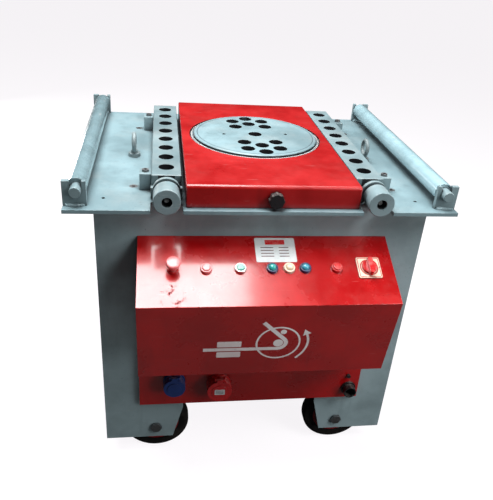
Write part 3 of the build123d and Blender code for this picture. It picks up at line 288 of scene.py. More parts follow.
def patched_console():
    """The console's red enamel, with a few dull dark patches low on the left of its slope."""
    material = red_enamel("console_enamel")
    paint = Paint.on(material)
    low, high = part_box("console_shell")
    middle = (low.x + 78 * MM, low.y + 22 * MM, high.z - 78 * MM)
    patch = paint.band(paint.distance(paint.coords, middle), 70 * MM, 22 * MM)
    marks = paint.band(paint.noise(34.0, 7.0, 0.75), 0.56, 0.66)
    sloped = paint.band(paint.facing_up(), 0.5, 0.8)
    dark_patch = paint.maths("MULTIPLY", paint.maths("MULTIPLY", patch, marks), sloped)
    paint.over("Base Color", dark_patch, DARK_PATCH_RED)
    paint.over("Roughness", dark_patch, 0.85)
    paint.over("Coat Weight", dark_patch, 0.0)
    paint.over("Specular IOR Level", dark_patch, 0.05)
    return material


def bored(node, colour, keep, reach):
    """Worn paint for a plate whose sockets' upright walls are darkened as painted shade."""
    low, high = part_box(node)
    bores = (tuple((low + high) / 2), keep, reach)
    return enamel(node + "_enamel", colour, roughness=0.36, dust=0.15, coat=0.2, bores=bores)


def turned_disc():
    """The disc's enamel, with painted shade on its sockets' walls and outer wall, and a dark line painted round it
    near the rim as the shadow of a step that the flat disc lacks.
    """
    step_shade_r = 173.5 * MM
    level = (1.0, 1.0, 0.0)
    material = bored("turntable_disc", PALE_BLUE, level, 190 * MM)
    paint = Paint.on(material)
    low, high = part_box("turntable_disc")
    flat = paint.add("ShaderNodeVectorMath", operation="MULTIPLY")
    paint.join(paint.coords, flat.inputs[0])
    flat.inputs[1].default_value = level
    radius = paint.distance(flat.outputs[0], ((low.x + high.x) / 2, (low.y + high.y) / 2, 0.0))
    # Painted shadow: a dark ring where a raised step's shaded wall would show.
    off = paint.maths("ABSOLUTE", paint.maths("SUBTRACT", radius, step_shade_r), 0.0)
    line = paint.band(off, 1.6 * MM, 0.7 * MM, 0.0, 0.8)
    paint.over("Base Color", line, STEP_SHADE)
    return material


def bare_metal(name, colour, roughness=0.34, stretch=(1.0, 1.0, 14.0), stain=0.4):
    """Turned or cut steel: fine tool marks, oily stains and a little rust."""
    paint = Paint(name, colour, roughness, 1.0)
    marks = paint.noise(900.0, 2.0, 0.5, stretch)
    blotch = paint.band(paint.noise(38.0, 5.0, 0.7), 0.42, 0.7, 0.0, stain)
    tone = paint.mix(marks, shade(colour, 0.75), colour)
    paint.set("Base Color", paint.mix(blotch, tone, OIL_STAIN))
    paint.set("Roughness", paint.band(marks, 0.2, 0.8, roughness * 0.8, roughness * 1.4))
    paint.bump(marks, 0.05 * MM, 0.5)
    return paint.material


def casting(name, colour):
    """Painted sand casting."""
    paint = Paint(name, colour, 0.5)
    grain = paint.noise(420.0, 4.0, 0.6)
    broad = paint.band(paint.noise(14.0, 5.0, 0.7), 0.35, 0.7)
    tone = paint.mix(broad, shade(colour, 0.65), colour)
    paint.set("Base Color", paint.mix(paint.band(grain, 0.62, 0.75, 0.0, 0.5), tone, DUST))
    paint.bump(grain, 0.5 * MM, 0.6)
    return paint.material


def moulded(name, colour, roughness=0.3, dust_and_nook_shade=0.35, coat=0.0):
    """Moulded plastic: fine texture, scuffs and settled dust."""
    paint = Paint(name, colour, roughness)
    fine = paint.noise(700.0, 2.0, 0.5)
    broad = paint.noise(60.0, 4.0, 0.65)
    tone = paint.mix(paint.band(broad, 0.35, 0.7), shade(colour, 0.8), colour)
    up = paint.band(paint.facing_up(), 0.2, 0.9)
    film = paint.maths("MULTIPLY", up, paint.band(broad, 0.4, 0.7, 0.0, dust_and_nook_shade))
    paint.set("Base Color", paint.mix(film, tone, DUST))
    paint.set("Roughness", paint.band(fine, 0.3, 0.7, roughness * 0.85, roughness * 1.3))
    paint.set("Coat Weight", coat)
    paint.bump(fine, 0.06 * MM, 0.5)
    return paint.material


def rubber(name):
    """Dull black rubber with patches of dirt."""
    paint = Paint(name, RUBBER, 0.9)
    paint.set("Specular IOR Level", 0.15)
    grit = paint.noise(300.0, 4.0, 0.65)
    dirt = paint.band(paint.noise(22.0, 5.0, 0.7), 0.45, 0.75, 0.0, 0.5)
    paint.set("Base Color", paint.mix(dirt, RUBBER, DIRT))
    paint.bump(grit, 0.3 * MM, 0.6)
    return paint.material


def lens(name, colour):
    """Glossy lamp lens that light sinks into."""
    material = moulded(name, colour, roughness=0.12, dust_and_nook_shade=0.2, coat=0.8)
    paint = Paint.on(material)
    paint.set("Subsurface Weight", 0.25)
    paint.set("Subsurface Radius", (4 * MM, 4 * MM, 4 * MM))
    return material


# The record's material slots, the finishes that only some pieces have, and the nodes that have one of those.
MATERIALS = {
    "table_paint": enamel("pale_table_enamel", PALE_BLUE, roughness=0.34, dust=0.12),
    "cabinet_paint": enamel("cabinet_enamel", CABINET_GREY, roughness=0.42, wear=0.5, coat=0.1),
    "bar_paint": enamel("bar_enamel", BLUE_GREY, roughness=0.4, wear=0.7, dust=0.2, coat=0.15),
    "red_paint": red_enamel("red_enamel"),
    "machined_steel": bare_metal("machined_steel", (0.55, 0.56, 0.57)),
    "zinc_fastener": bare_metal("zinc_plate", (0.50, 0.50, 0.46), 0.4, ALL_WAYS, stain=0.55),
    "gear_steel": bare_metal("gear_steel", (0.36, 0.35, 0.34), 0.28),
    "cast_housing": casting("cast_housing", (0.26, 0.34, 0.36)),
    "motor_casting": casting("motor_casting", (0.40, 0.44, 0.46)),
    "black_plastic": moulded("black_phenolic", BLACK, 0.32),
    "grey_plastic": moulded("grey_plastic", (0.30, 0.31, 0.32), 0.45),
    "red_plastic": moulded("red_plastic", (0.62, 0.012, 0.016), 0.22, dust_and_nook_shade=0.3, coat=0.3),
    "green_plastic": moulded("green_plastic", (0.03, 0.32, 0.25), 0.22, dust_and_nook_shade=0.3, coat=0.3),
    "cream_plastic": moulded("cream_plastic", (0.90, 0.72, 0.56), 0.35, dust_and_nook_shade=0.15),
    "lamp_lens": lens("lamp_lens_teal", (0.04, 0.46, 0.42)),
    "blue_plastic": moulded("blue_plastic", (0.012, 0.045, 0.22), 0.38),
    "belt_rubber": rubber("belt_rubber"),
    "wheel_tyre": rubber("tyre_rubber"),
}
EXTRA = {
    "hub_red": enamel("hub_enamel", DARK_RED, roughness=0.45, dust=0.5, under=PRIMER, coat=0.1),
    "weld": enamel("painted_weld", PALE_BLUE, roughness=0.34, wear=0.25, dust=0.2, coat=0.2, dust_and_nook_shade=0.2),
    "lamp_cream": lens("lamp_lens_cream", (0.92, 0.78, 0.56)),
    "lamp_blue": lens("lamp_lens_blue", (0.06, 0.36, 0.48)),
    "marking": enamel("white_marking_paint", WHITE_PAINT, roughness=0.4, wear=0.0, dust=0.1, coat=0.2),
    "bezel_red": moulded("bezel_red", (0.55, 0.012, 0.014), 0.24, dust_and_nook_shade=0.2, coat=0.3),
    # Pale pink red for the e-stop and stop caps and the stop's bezel: painted highlight for the glare on their
    # flat tops.
    "highlight_pink_red": moulded("highlight_pink_plastic", (0.80, 0.20, 0.21), 0.25, dust_and_nook_shade=0.3, coat=0.3),
    "bezel_blue": moulded("bezel_blue", (0.01, 0.03, 0.10), 0.3, dust_and_nook_shade=0.2, coat=0.3),
    # The two rollers share one enamel: the left made darker as painted shade, the right lighter as a painted
    # highlight.
    "left_roller_paint": rubbed_pipe("left_roller_enamel", 0.85),
    "right_roller_paint": rubbed_pipe("right_roller_enamel", 1.55),
    "ring_paint": enamel("ring_enamel", shade(PALE_BLUE, 0.6), 0.5, wear=0.4, dust=0.0, coat=0.0, dust_and_nook_shade=0.6),
    "disc_paint": turned_disc(),
    # The left bar's paint is the right bar's made darker: painted shade.
    "left_bar_paint": bored("hole_bar_left", shade(BLUE_GREY, 0.8), (1.0, 0.0, 0.0), 21 * MM),
    "right_bar_paint": bored("hole_bar_right", BLUE_GREY, (1.0, 0.0, 0.0), 21 * MM),
    "console_paint": patched_console(),
    # Painted shade: the cover's red is darker than the console's same paint.
    "cover_paint": enamel("cover_enamel", COVER_RED, wear=0.5, dust=0.02),
    "eye_paint": casting("eye_enamel", (0.19, 0.24, 0.25)),
    "index_metal": bare_metal("index_metal", (0.70, 0.70, 0.69), 0.3, ALL_WAYS, stain=0.2),
    "dull_steel": bare_metal("dull_steel", (0.24, 0.25, 0.26), 0.45, ALL_WAYS, stain=0.6),
    "label": moulded("label_foil", (0.74, 0.78, 0.79), 0.28, dust_and_nook_shade=0.3, coat=0.3),
    "print": moulded("label_print", (0.10, 0.03, 0.04), 0.4, dust_and_nook_shade=0.2),
}
OWN_FINISH = {
    "roller_left": EXTRA["left_roller_paint"], "roller_right": EXTRA["right_roller_paint"],
    "hole_bar_left": EXTRA["left_bar_paint"], "hole_bar_right": EXTRA["right_bar_paint"],
    "turntable_disc": EXTRA["disc_paint"], "turntable_cover": EXTRA["cover_paint"],
    "console_shell": EXTRA["console_paint"], "eye_bolts": EXTRA["eye_paint"],
    "index_ring": EXTRA["dull_steel"], "table_fasteners": EXTRA["dull_steel"],
    "axle_bolts": EXTRA["dull_steel"],
}


def dress_frame():
    """Gives every CAD node its own finish, or the material of its slot."""
    for part in frame["record"]["subparts"]:
        node = NODES[part["node"]]
        if not node.material_slots:
            node.data.materials.append(None)
        finish = OWN_FINISH.get(part["node"]) or MATERIALS[part["material_slot"]]
        for place in node.material_slots:
            place.material = finish


# ---- mesh tools -------------------------------------------------------------------------------
SLOT_OF = {part["node"]: part["material_slot"] for part in frame["record"]["subparts"]}
BODY_OF = {node: body for body, nodes in frame["record"]["behaviour"]["bodies"].items() for node in nodes}
SHARP = math.radians(48)
ON_AXIS = 1e-7
CORNERS = ((1, 1), (-1, 1), (-1, -1), (1, -1))


def centre(node):
    """Middle of a node's box at rest."""
    low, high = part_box(node)
    return (low + high) / 2


def even_normals(mesh, limit):
    """Normals led by the largest faces, so flat sheet shades flat right up to its rounded edges."""
    normals = [face.normal.copy() for face in mesh.polygons]
    weighted = [face.normal * face.area for face in mesh.polygons]
    around = [[] for _ in mesh.vertices]
    for face in mesh.polygons:
        for vertex in face.vertices:
            around[vertex].append(face.index)
    least = math.cos(limit)
    corners = []
    for face in mesh.polygons:
        for vertex in face.vertices:
            near = [weighted[i] for i in around[vertex] if normals[i].dot(face.normal) > least]
            corners.append(sum(near, Vector()).normalized())
    mesh.normals_split_custom_set(corners)


def add_piece(name, bm, material, body, sharp=SHARP):
    """Turns a bmesh in the row frame into a piece that rides on a body."""
    bmesh.ops.recalc_face_normals(bm, faces=bm.faces)
    mesh = bpy.data.meshes.new(name)
    bm.to_mesh(mesh)
    bm.free()
    if "custom_normal" in mesh.attributes:
        mesh.attributes.remove(mesh.attributes["custom_normal"])
    mesh.materials.clear()
    mesh.materials.append(material)
    for face in mesh.polygons:
        face.material_index = 0
        face.use_smooth = True
    even_normals(mesh, sharp)
    piece = bpy.data.objects.new(name, mesh)
    bpy.context.scene.collection.objects.link(piece)
    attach(piece, body)
    return piece


def folds(bm, least=math.radians(28)):
    """Edges where two faces meet at a clear angle."""
    return [e for e in bm.edges if len(e.link_faces) == 2 and e.calc_face_angle(0.0) > least]


def softened(node, radius):
    """Copy of a CAD node with its edges rounded; it stands for the node."""
    bm = bmesh.new()
    bm.from_mesh(NODES[node].data)
    bmesh.ops.remove_doubles(bm, verts=bm.verts, dist=0.01 * MM)
    bmesh.ops.dissolve_limit(bm, angle_limit=math.radians(0.6), verts=bm.verts, edges=bm.edges)
    bmesh.ops.bevel(bm, geom=folds(bm), offset=radius, segments=2, profile=0.6,
                    affect="EDGES", clamp_overlap=False, loop_slide=True)
    finish = OWN_FINISH.get(node) or MATERIALS[SLOT_OF[node]]
    piece = add_piece("finished_" + node, bm, finish, BODY_OF[node])
    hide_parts(node)
    return piece


def round_corners(profile, radius, steps=4):
    """Replaces each inner corner of an open profile with a small curve."""
    points = [Vector(p) for p in profile]
    done = [points[0]]
    for before, corner, after in zip(points, points[1:], points[2:]):
        back = (before - corner)
        on = (after - corner)
        reach = min(radius, back.length * 0.45, on.length * 0.45)
        start = corner + back.normalized() * reach
        end = corner + on.normalized() * reach
        for i in range(steps + 1):
            t = i / steps
            done.append((1 - t) ** 2 * start + 2 * t * (1 - t) * corner + t * t * end)
    return done + [points[-1]]


def lathe(profile, place, steps=64, wave=None):
    """Mesh turned about the place's Z, from points (radius, height) in metres.

    A wave, given an angle and a radius, says how much to scale the radius there.
    """
    bm = bmesh.new()
    rings = []
    for radius, height in profile:
        if radius < ON_AXIS:
            rings.append([bm.verts.new((0.0, 0.0, height))])
            continue
        ring = []
        for i in range(steps):
            angle = 2 * math.pi * i / steps
            r = radius * (wave(angle, radius) if wave else 1.0)
            ring.append(bm.verts.new((r * math.cos(angle), r * math.sin(angle), height)))
        rings.append(ring)
    for low, high in zip(rings, rings[1:]):
        for i in range(steps):
            on = i + 1
            corners = [low[i % len(low)], low[on % len(low)], high[on % len(high)], high[i % len(high)]]
            unique = list(dict.fromkeys(corners))
            if len(unique) > 2:
                bm.faces.new(unique)
    bmesh.ops.transform(bm, matrix=place, verts=bm.verts)
    return bm


def turned(name, profile, place, material, body, corner=0.6 * MM, steps=64, wave=None):
    """Turned piece with rounded corners; profile in millimetres."""
    points = [(r * MM, h * MM) for r, h in profile]
    bm = lathe(round_corners(points, corner), place, steps, wave)
    return add_piece(name, bm, material, body, math.radians(50))


def slab(outline, low, high, place, radius):
    """Outline in local X and Y, extruded from low to high along local Z, with rounded edges."""
    bm = bmesh.new()
    bottom = bm.faces.new([bm.verts.new((x, y, low)) for x, y in outline])
    extruded = bmesh.ops.extrude_face_region(bm, geom=[bottom])
    moved = [v for v in extruded["geom"] if isinstance(v, bmesh.types.BMVert)]
    bmesh.ops.translate(bm, vec=(0, 0, high - low), verts=moved)
    bmesh.ops.recalc_face_normals(bm, faces=bm.faces)
    if radius:
        bmesh.ops.bevel(bm, geom=folds(bm, math.radians(50)), offset=radius, segments=2, profile=0.6,
                        affect="EDGES", clamp_overlap=True)
    bmesh.ops.transform(bm, matrix=place, verts=bm.verts)
    return bm


def rounded_box(width, height, corner, steps=5):
    """Outline of a rectangle with round corners, about the origin."""
    points = []
    for quarter, (sx, sy) in enumerate(CORNERS):
        for i in range(steps + 1):
            angle = math.pi / 2 * (quarter + i / steps)
            points.append((sx * (width / 2 - corner) + corner * math.cos(angle),
                           sy * (height / 2 - corner) + corner * math.sin(angle)))
    return points


def frame_at(origin, z_axis, x_axis=(1, 0, 0)):
    """Matrix of a local frame from its origin, its Z and roughly its X."""
    z = Vector(z_axis).normalized()
    x = Vector(x_axis)
    x = (x - x.dot(z) * z).normalized()
    turn = Matrix((x, z.cross(x), z)).transposed().to_4x4()
    return Matrix.Translation(Vector(origin)) @ turn


def weld_bead(name, start, end, radius):
    """Rippled, slightly uneven bead between two points, thinner towards its ends."""
    start, end = Vector(start), Vector(end)
    run = end - start
    place = frame_at(start, run, (0, 0, 1) if abs(run.normalized().z) < 0.9 else (1, 0, 0))
    bm = bmesh.new()
    step, pitch, wander, sides = 0.7 * MM, 3.4 * MM, 9.0 * MM, 10
    count = max(8, int(run.length / step))
    rings = []
    for i in range(count + 1):
        share = i / count
        along = share * run.length
        ripple = 1 + 0.16 * abs(math.sin(along / pitch * math.pi)) + random.uniform(-0.07, 0.07)
        ripple += 0.14 * math.sin(along / wander)
        taper = min(1.0, 0.35 + 12 * min(share, 1 - share))
        r = radius * ripple * taper
        angles = (2 * math.pi * k / sides for k in range(sides))
        rings.append([bm.verts.new((r * math.cos(a), r * math.sin(a), along)) for a in angles])
    for low, high in zip(rings, rings[1:]):
        for k in range(sides):
            on = (k + 1) % sides
            bm.faces.new((low[k], low[on], high[on], high[k]))
    bm.faces.new(rings[0])
    bm.faces.new(rings[-1])
    bmesh.ops.transform(bm, matrix=place, verts=bm.verts)
    return add_piece(name, bm, EXTRA["weld"], "frame", math.radians(80))


def screw_head(name, origin, out, radius):
    """Round screw head with a shallow cup pressed into it; its profile is in parts of its radius."""
    place = frame_at(origin, out)
    profile = [(0, 0.35), (0.28, 0.35), (0.34, 0.62), (0.62, 0.58), (1.0, 0.18), (1.0, 0.0)]
    scaled = [(r * radius, h * radius) for r, h in profile]
    return turned(name, scaled, place, MATERIALS["zinc_fastener"], "frame", 0.15 * MM, 28)


# ---- table, bars and cover --------------------------------------------------------------------
# Radius of each node's rounded edges, in millimetres.
EDGE_ROUNDING = {
    "table_plate": 0.9, "front_frame": 0.8, "rear_frame": 0.8, "side_panel_left": 0.6,
    "side_panel_right": 0.6, "turntable_cover": 0.7, "console_shell": 1.3, "lower_panel": 0.8,
    "hole_bar_left": 1.1, "hole_bar_right": 1.1, "guide_blocks": 0.8, "roller_brackets": 0.9,
    "screw_yokes": 0.8, "turntable_disc": 0.9, "adjusting_wheel_left": 0.7, "adjusting_wheel_right": 0.7,
    "cover_knob": 0.7, "isolator_plate": 0.9, "isolator_knob": 1.0, "roller_shafts": 0.9,
    "cover_mounts": 0.4, "motor_shelf": 0.8, "cross_rails": 0.8, "axle_bolts": 0.6,
    "table_fasteners": 0.4, "red_socket_lid": 0.8, "blue_socket_lid": 0.8,
}


def finish_edges():
    """Finished copies of the nodes whose edges show."""
    for node, radius in EDGE_ROUNDING.items():
        softened(node, radius * MM)


def bracket_welds():
    """Beads along the feet of the four roller brackets."""
    low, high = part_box("roller_brackets")
    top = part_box("table_plate")[1].z
    width = 56 * MM
    thick = 12 * MM
    clear = 4 * MM
    for side, outer in (("left", low.x), ("right", high.x)):
        inner = outer + width if side == "left" else outer - width
        start, stop = min(outer, inner) + clear, max(outer, inner) - clear
        for end, front in (("front", low.y), ("rear", high.y - thick)):
            for bead, y, radius in (("a", front, 5 * MM), ("b", front + thick, 3 * MM)):
                weld_bead(f"weld_bracket_{side}_{end}_{bead}", (start, y, top), (stop, y, top), radius)


def yoke_welds():
    """Beads at the feet of the two screw yokes."""
    low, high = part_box("screw_yokes")
    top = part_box("table_plate")[1].z
    half = 28 * MM
    for side in ("left", "right"):
        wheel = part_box(f"adjusting_wheel_{side}")
        middle = (wheel[0].x + wheel[1].x) / 2
        start, stop = middle - half, middle + half
        for end, y in (("a", low.y), ("b", high.y)):
            weld_bead(f"weld_yoke_{side}_{end}", (start, y, top), (stop, y, top), 2.8 * MM)


def index_ticks():
    """Graduated band standing on the index ring, just clear of the cover's hole."""
    low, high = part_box("index_ring")
    place = Matrix.Translation(((low.x + high.x) / 2, (low.y + high.y) / 2, high.z))
    band_in, band_out, foot, top = 185.4, 192.4, -1.0, 2.2
    band = [(band_in, foot), (band_in, top), (band_out, top), (band_out, foot)]
    turned("index_band", band, place, EXTRA["ring_paint"], "turntable", 0.3 * MM, 144)
    inner, outer, half, count = 188.0 * MM, 192.3 * MM, 0.75 * MM, 180
    bm = bmesh.new()
    for number in range(count):
        turn = place @ Matrix.Rotation(2 * math.pi * number / count, 4, "Z")
        corners = []
        for z in (1.8 * MM, 3.4 * MM):
            corners += [bm.verts.new(turn @ Vector((x, y, z)))
                        for x, y in ((inner, -half), (outer, -half), (outer, half), (inner, half))]
        for face in ((3, 2, 1, 0), (4, 5, 6, 7), (0, 1, 5, 4), (1, 2, 6, 5), (2, 3, 7, 6), (3, 0, 4, 7)):
            bm.faces.new([corners[i] for i in face])
    add_piece("index_ticks", bm, EXTRA["marking"], "turntable")


def rollers():
    """Pipe rollers with set-in end plugs."""
    for side in ("left", "right"):
        low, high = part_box(f"roller_{side}")
        middle = (low + high) / 2
        half = (high.y - low.y) / 2 / MM
        outer = (high.x - low.x) / 2 / MM
        eye, plug, bore = 14.4, 20.6, 20.9
        profile = [(eye, 1 - half), (plug, 1 - half), (bore, -half), (outer, -half),
                   (outer, half), (bore, half), (plug, half - 1), (eye, half - 1)]
        piece = turned(f"pipe_{side}", profile, frame_at(middle, (0, 1, 0)), EXTRA[f"{side}_roller_paint"],
                       f"{side}_roller", 0.8 * MM, 96)
        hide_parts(f"roller_{side}")


def screw_ends():
    """Bright domed end of each lead screw, deep in the adjusting wheel."""
    wheel_r = 33 * MM
    depth = 14 * MM
    dome = [(0, 3.2), (2.4, 3.0), (5.2, 2.0), (6.6, 0.0), (6.6, -6.0)]
    for side in ("left", "right"):
        low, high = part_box(f"adjusting_wheel_{side}")
        spot = ((low.x + high.x) / 2, low.y + depth, high.z - wheel_r)
        turned(f"screw_end_{side}", dome, frame_at(spot, (0, -1, 0)), EXTRA["index_metal"],
               f"{side}_adjuster", 0.4 * MM, 40)


# ---- wheels -----------------------------------------------------------------------------------
def road_wheels():
    """Solid tyres on dished red hubs."""
    drawn_r = 100
    tyre = [(70, -21), (86, -23), (97, -20), (drawn_r, -13),
            (drawn_r, 13), (97, 20), (86, 23), (70, 21), (70, -21)]
    hub = [(11, -24), (19, -24), (21, -18), (24, -9), (52, -6), (60, -19), (70.4, -20),
           (70.4, 20), (60, 19), (52, 6), (24, 9), (21, 18), (19, 24), (11, 24)]
    for end in ("front", "rear"):
        for side in ("left", "right"):
            node = f"wheel_{end}_{side}"
            body = f"{end}_{side}_wheel"
            low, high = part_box(node)
            middle = (low + high) / 2
            place = frame_at(middle, (0, 1, 0))
            scale = (high.z - low.z) / 2 / (drawn_r * MM)
            outer = [(r * scale, h) for r, h in tyre]
            piece = turned(f"tyre_{end}_{side}", outer, place, MATERIALS["wheel_tyre"], body,
                           3 * MM, 96)
            core = turned(f"hub_{end}_{side}", hub, place, EXTRA["hub_red"], body, 2 * MM, 72)
            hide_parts(node)
            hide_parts(node)


# ---- console ----------------------------------------------------------------------------------
OUTWARD = -Vector(JOINTS["stop_press"]["axis"])
DOWN_SLOPE = Vector((0, OUTWARD.z * -1, OUTWARD.y)).normalized()
CONTROL_LINE = Vector(JOINTS["isolator_turn"]["pos_m"])
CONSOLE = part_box("console_shell")


def on_slope(x, down=0.0):
    """Frame on the sloped face, down from the control line: Z out, X to the operator's right, Y up."""
    origin = Vector((x, CONTROL_LINE.y, CONTROL_LINE.z)) + down * DOWN_SLOPE
    return frame_at(origin, OUTWARD)


def rim_wave(count, depth, beyond=0.0):
    """Wave for turned pieces: ripples what lies beyond a radius, count times round."""
    return lambda angle, radius: 1 + (depth * math.cos(count * angle) if radius > beyond else 0)


def bezels():
    """Knurled clamping rings under the buttons and the lamps, low under the emergency stop's head."""
    xs = [centre(n).x for n in ("estop_button", "stop_button", "start_button", "reset_button")]
    xs += lamp_places()
    tall = [(10.4, 0.2), (10.4, 7.6), (10.9, 8.2), (13.2, 8.1), (14.3, 7.2), (15.0, 0.0)]
    low = [(10.4, 0.2), (10.4, 4.4), (11.0, 5.2), (13.4, 5.1), (14.6, 4.2), (15.0, 0.0)]
    red, dark = EXTRA["bezel_red"], EXTRA["bezel_blue"]
    cream = MATERIALS["cream_plastic"]
    finishes = (red, EXTRA["highlight_pink_red"], EXTRA["index_metal"], red, dark, cream, dark)
    for number, (x, finish) in enumerate(zip(xs, finishes)):
        ring = tall if number else low
        piece = turned(f"bezel_{number + 1}", ring, on_slope(x), finish, "frame",
                       0.5 * MM, 72, rim_wave(36, 0.012, 14 * MM))
        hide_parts("control_bezels")


def lamp_places():
    """X of the three lamps, from the ends of their node; the middle one stands a little to the right."""
    low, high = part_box("pilot_lamps")
    lens_r = 10 * MM
    off_middle = 1 * MM
    first, last = low.x + lens_r, high.x - lens_r
    return [first, (first + last) / 2 + off_middle, last]


def pilot_lenses():
    """Domed lenses of the three lamps."""
    dome = [(9.9, 2.2), (9.9, 6.5), (9.3, 9.5), (7.4, 12.6), (4.4, 14.8), (0, 15.6)]
    colours = (MATERIALS["lamp_lens"], EXTRA["lamp_cream"], EXTRA["lamp_blue"])
    for number, (x, colour) in enumerate(zip(lamp_places(), colours)):
        piece = turned(f"lamp_lens_{number + 1}", dome, on_slope(x), colour, "frame",
                       1.5 * MM, 48)
        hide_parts("pilot_lamps")


def push_caps():
    """Button caps, each with its plunger."""
    cap = [(0, 10.6), (8.4, 10.8), (9.9, 10.0), (9.9, -24), (0, -24)]
    for name, slot in (("stop", "red_plastic"), ("start", "green_plastic"), ("reset", "red_plastic")):
        node = f"{name}_button"
        # The stop cap's pale pink red is a painted highlight.
        finish = EXTRA["highlight_pink_red"] if name == "stop" else MATERIALS[slot]
        piece = turned(f"{name}_cap", cap, on_slope(centre(node).x), finish, name, 0.8 * MM, 48)
        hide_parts(node)


def estop_head():
    """Mushroom head with a grip-waved rim."""
    head = [(0, 35.6), (9, 35.4), (15.5, 34.4), (18, 31.5), (18, 26.6), (15.5, 23.6), (12.6, 21.6),
            (12.6, 12.2), (9.9, 11.4), (9.9, -24), (0, -24)]
    # The head's pale pink red is a painted highlight for its glare.
    piece = turned("estop_mushroom", head, on_slope(centre("estop_button").x), EXTRA["highlight_pink_red"],
                   "estop", 1.6 * MM, 96, rim_wave(24, 0.012, 17 * MM))
    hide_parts("estop_button")


def corner_screws(name, place, across, up, face, radius):
    """Four screw heads at a plate's corners."""
    for number, (sx, sy) in enumerate(CORNERS):
        spot = place @ Vector((sx * across, sy * up, face))
        screw_head(f"{name}_{number + 1}", spot, OUTWARD, radius)


def isolator_marks():
    """Border, plain ring and position ticks on the isolator's plate, and its four screws."""
    place = on_slope(centre("isolator_plate").x)
    face = 4.0 * MM
    ring_in, ring_out = 21.6, 24.4
    ring = [(ring_in, 4.0), (ring_in, 4.5), (ring_out, 4.5), (ring_out, 4.0)]
    turned("isolator_ring", ring, place, MATERIALS["red_plastic"], "frame", 0.1 * MM, 72)
    border = rounded_box(56 * MM, 56 * MM, 3 * MM)
    on_face = place @ Matrix.Translation((0, 0, face))
    stroke(border + border[:1], 1.8 * MM, on_face, "isolator_border", 0.2 * MM, "bezel_red")
    tick_outline = rounded_box(4.5 * MM, 1.6 * MM, 0.6 * MM)
    for number, angle in enumerate((90, 0)):
        turn = place @ Matrix.Rotation(math.radians(angle), 4, "Z")
        tick = slab(tick_outline, face, face + 0.3 * MM, turn @ Matrix.Translation((27.5 * MM, 0, 0)), 0)
        add_piece(f"isolator_tick_{number + 1}", tick, EXTRA["print"], "frame")
    corner_screws("isolator_screw", place, 25 * MM, 25 * MM, face, 2.4 * MM)


def nameplate():
    """Blank foil plate with plain bars in place of any wording, riveted at its corners."""
    x = 0.5 * (centre("start_button").x + centre("reset_button").x) - 29 * MM
    place = on_slope(x, -58 * MM)
    width, height, inset = 106 * MM, 76 * MM, 4.5 * MM
    face, printed = 0.9 * MM, 1.0 * MM
    plate = slab(rounded_box(width, height, 4 * MM), 0.0, face, place, 0.25 * MM)
    add_piece("nameplate", plate, EXTRA["label"], "frame")
    head = place @ Matrix.Translation((0, 24 * MM, 0))
    band = slab(rounded_box(52 * MM, 15 * MM, 2 * MM), face, printed, head, 0)
    add_piece("nameplate_band", band, MATERIALS["red_plastic"], "frame")
    for row in range(4):
        for side, way, length in (("left", -1, 34 * MM), ("right", 1, 26 * MM)):
            spot = place @ Matrix.Translation((way * 22 * MM, (7 - 9 * row) * MM, 0))
            bar = slab(rounded_box(length, 2.6 * MM, 1 * MM), face, printed, spot, 0)
            name = f"nameplate_line_{row + 1}_{side}"
            add_piece(name, bar, EXTRA["print"], "frame")
    corner_screws("nameplate_rivet", place, width / 2 - inset, height / 2 - inset, face, 2.0 * MM)


def front_face():
    """Frame on the console's front face, at its middle: Z out, Y up the face."""
    lean = 40 * MM
    slope_drop = (CONSOLE[1].y - CONSOLE[0].y) / OUTWARD.z * -OUTWARD.y
    crease = Vector((0, CONSOLE[0].y, CONSOLE[1].z - slope_drop))
    foot = Vector((0, CONSOLE[0].y + lean, CONSOLE[0].z))
    up = (crease - foot).normalized()
    out = Vector((1, 0, 0)).cross(up)
    middle = (crease + foot) / 2
    middle.x = (CONSOLE[0].x + CONSOLE[1].x) / 2
    return frame_at(middle, out)


def stroke(path, width, place, name, thick=0.25 * MM, paint="marking"):
    """Flat painted stroke along a path of local points."""
    bm = bmesh.new()
    left, right = [], []
    points = [Vector(p) for p in path]
    for i, point in enumerate(points):
        before = points[max(0, i - 1)]
        after = points[min(len(points) - 1, i + 1)]
        way = (after - before).normalized()
        side = Vector((-way.y, way.x)) * width / 2
        left.append(bm.verts.new((*(point + side), thick)))
        right.append(bm.verts.new((*(point - side), thick)))
    for i in range(len(points) - 1):
        bm.faces.new((left[i], right[i], right[i + 1], left[i + 1]))
    top = bm.faces[:]
    grown = bmesh.ops.extrude_face_region(bm, geom=top)
    moved = [v for v in grown["geom"] if isinstance(v, bmesh.types.BMVert)]
    bmesh.ops.translate(bm, vec=(0, 0, -thick - 0.1 * MM), verts=moved)
    bmesh.ops.transform(bm, matrix=place, verts=bm.verts)
    return add_piece(name, bm, EXTRA[paint], "frame")


def arc(middle, radius, start, end, steps=28):
    """Points of an arc, from one angle in degrees to another."""
    turns = [math.radians(start + (end - start) * i / steps) for i in range(steps + 1)]
    return [(middle[0] + radius * math.cos(a), middle[1] + radius * math.sin(a)) for a in turns]


def sign_dot(name, place, radius):
    """Painted disc; radius in millimetres."""
    turned(name, [(0, 0.3), (radius, 0.3), (radius, -0.1)], place, EXTRA["marking"], "frame",
           0.05 * MM, 48)


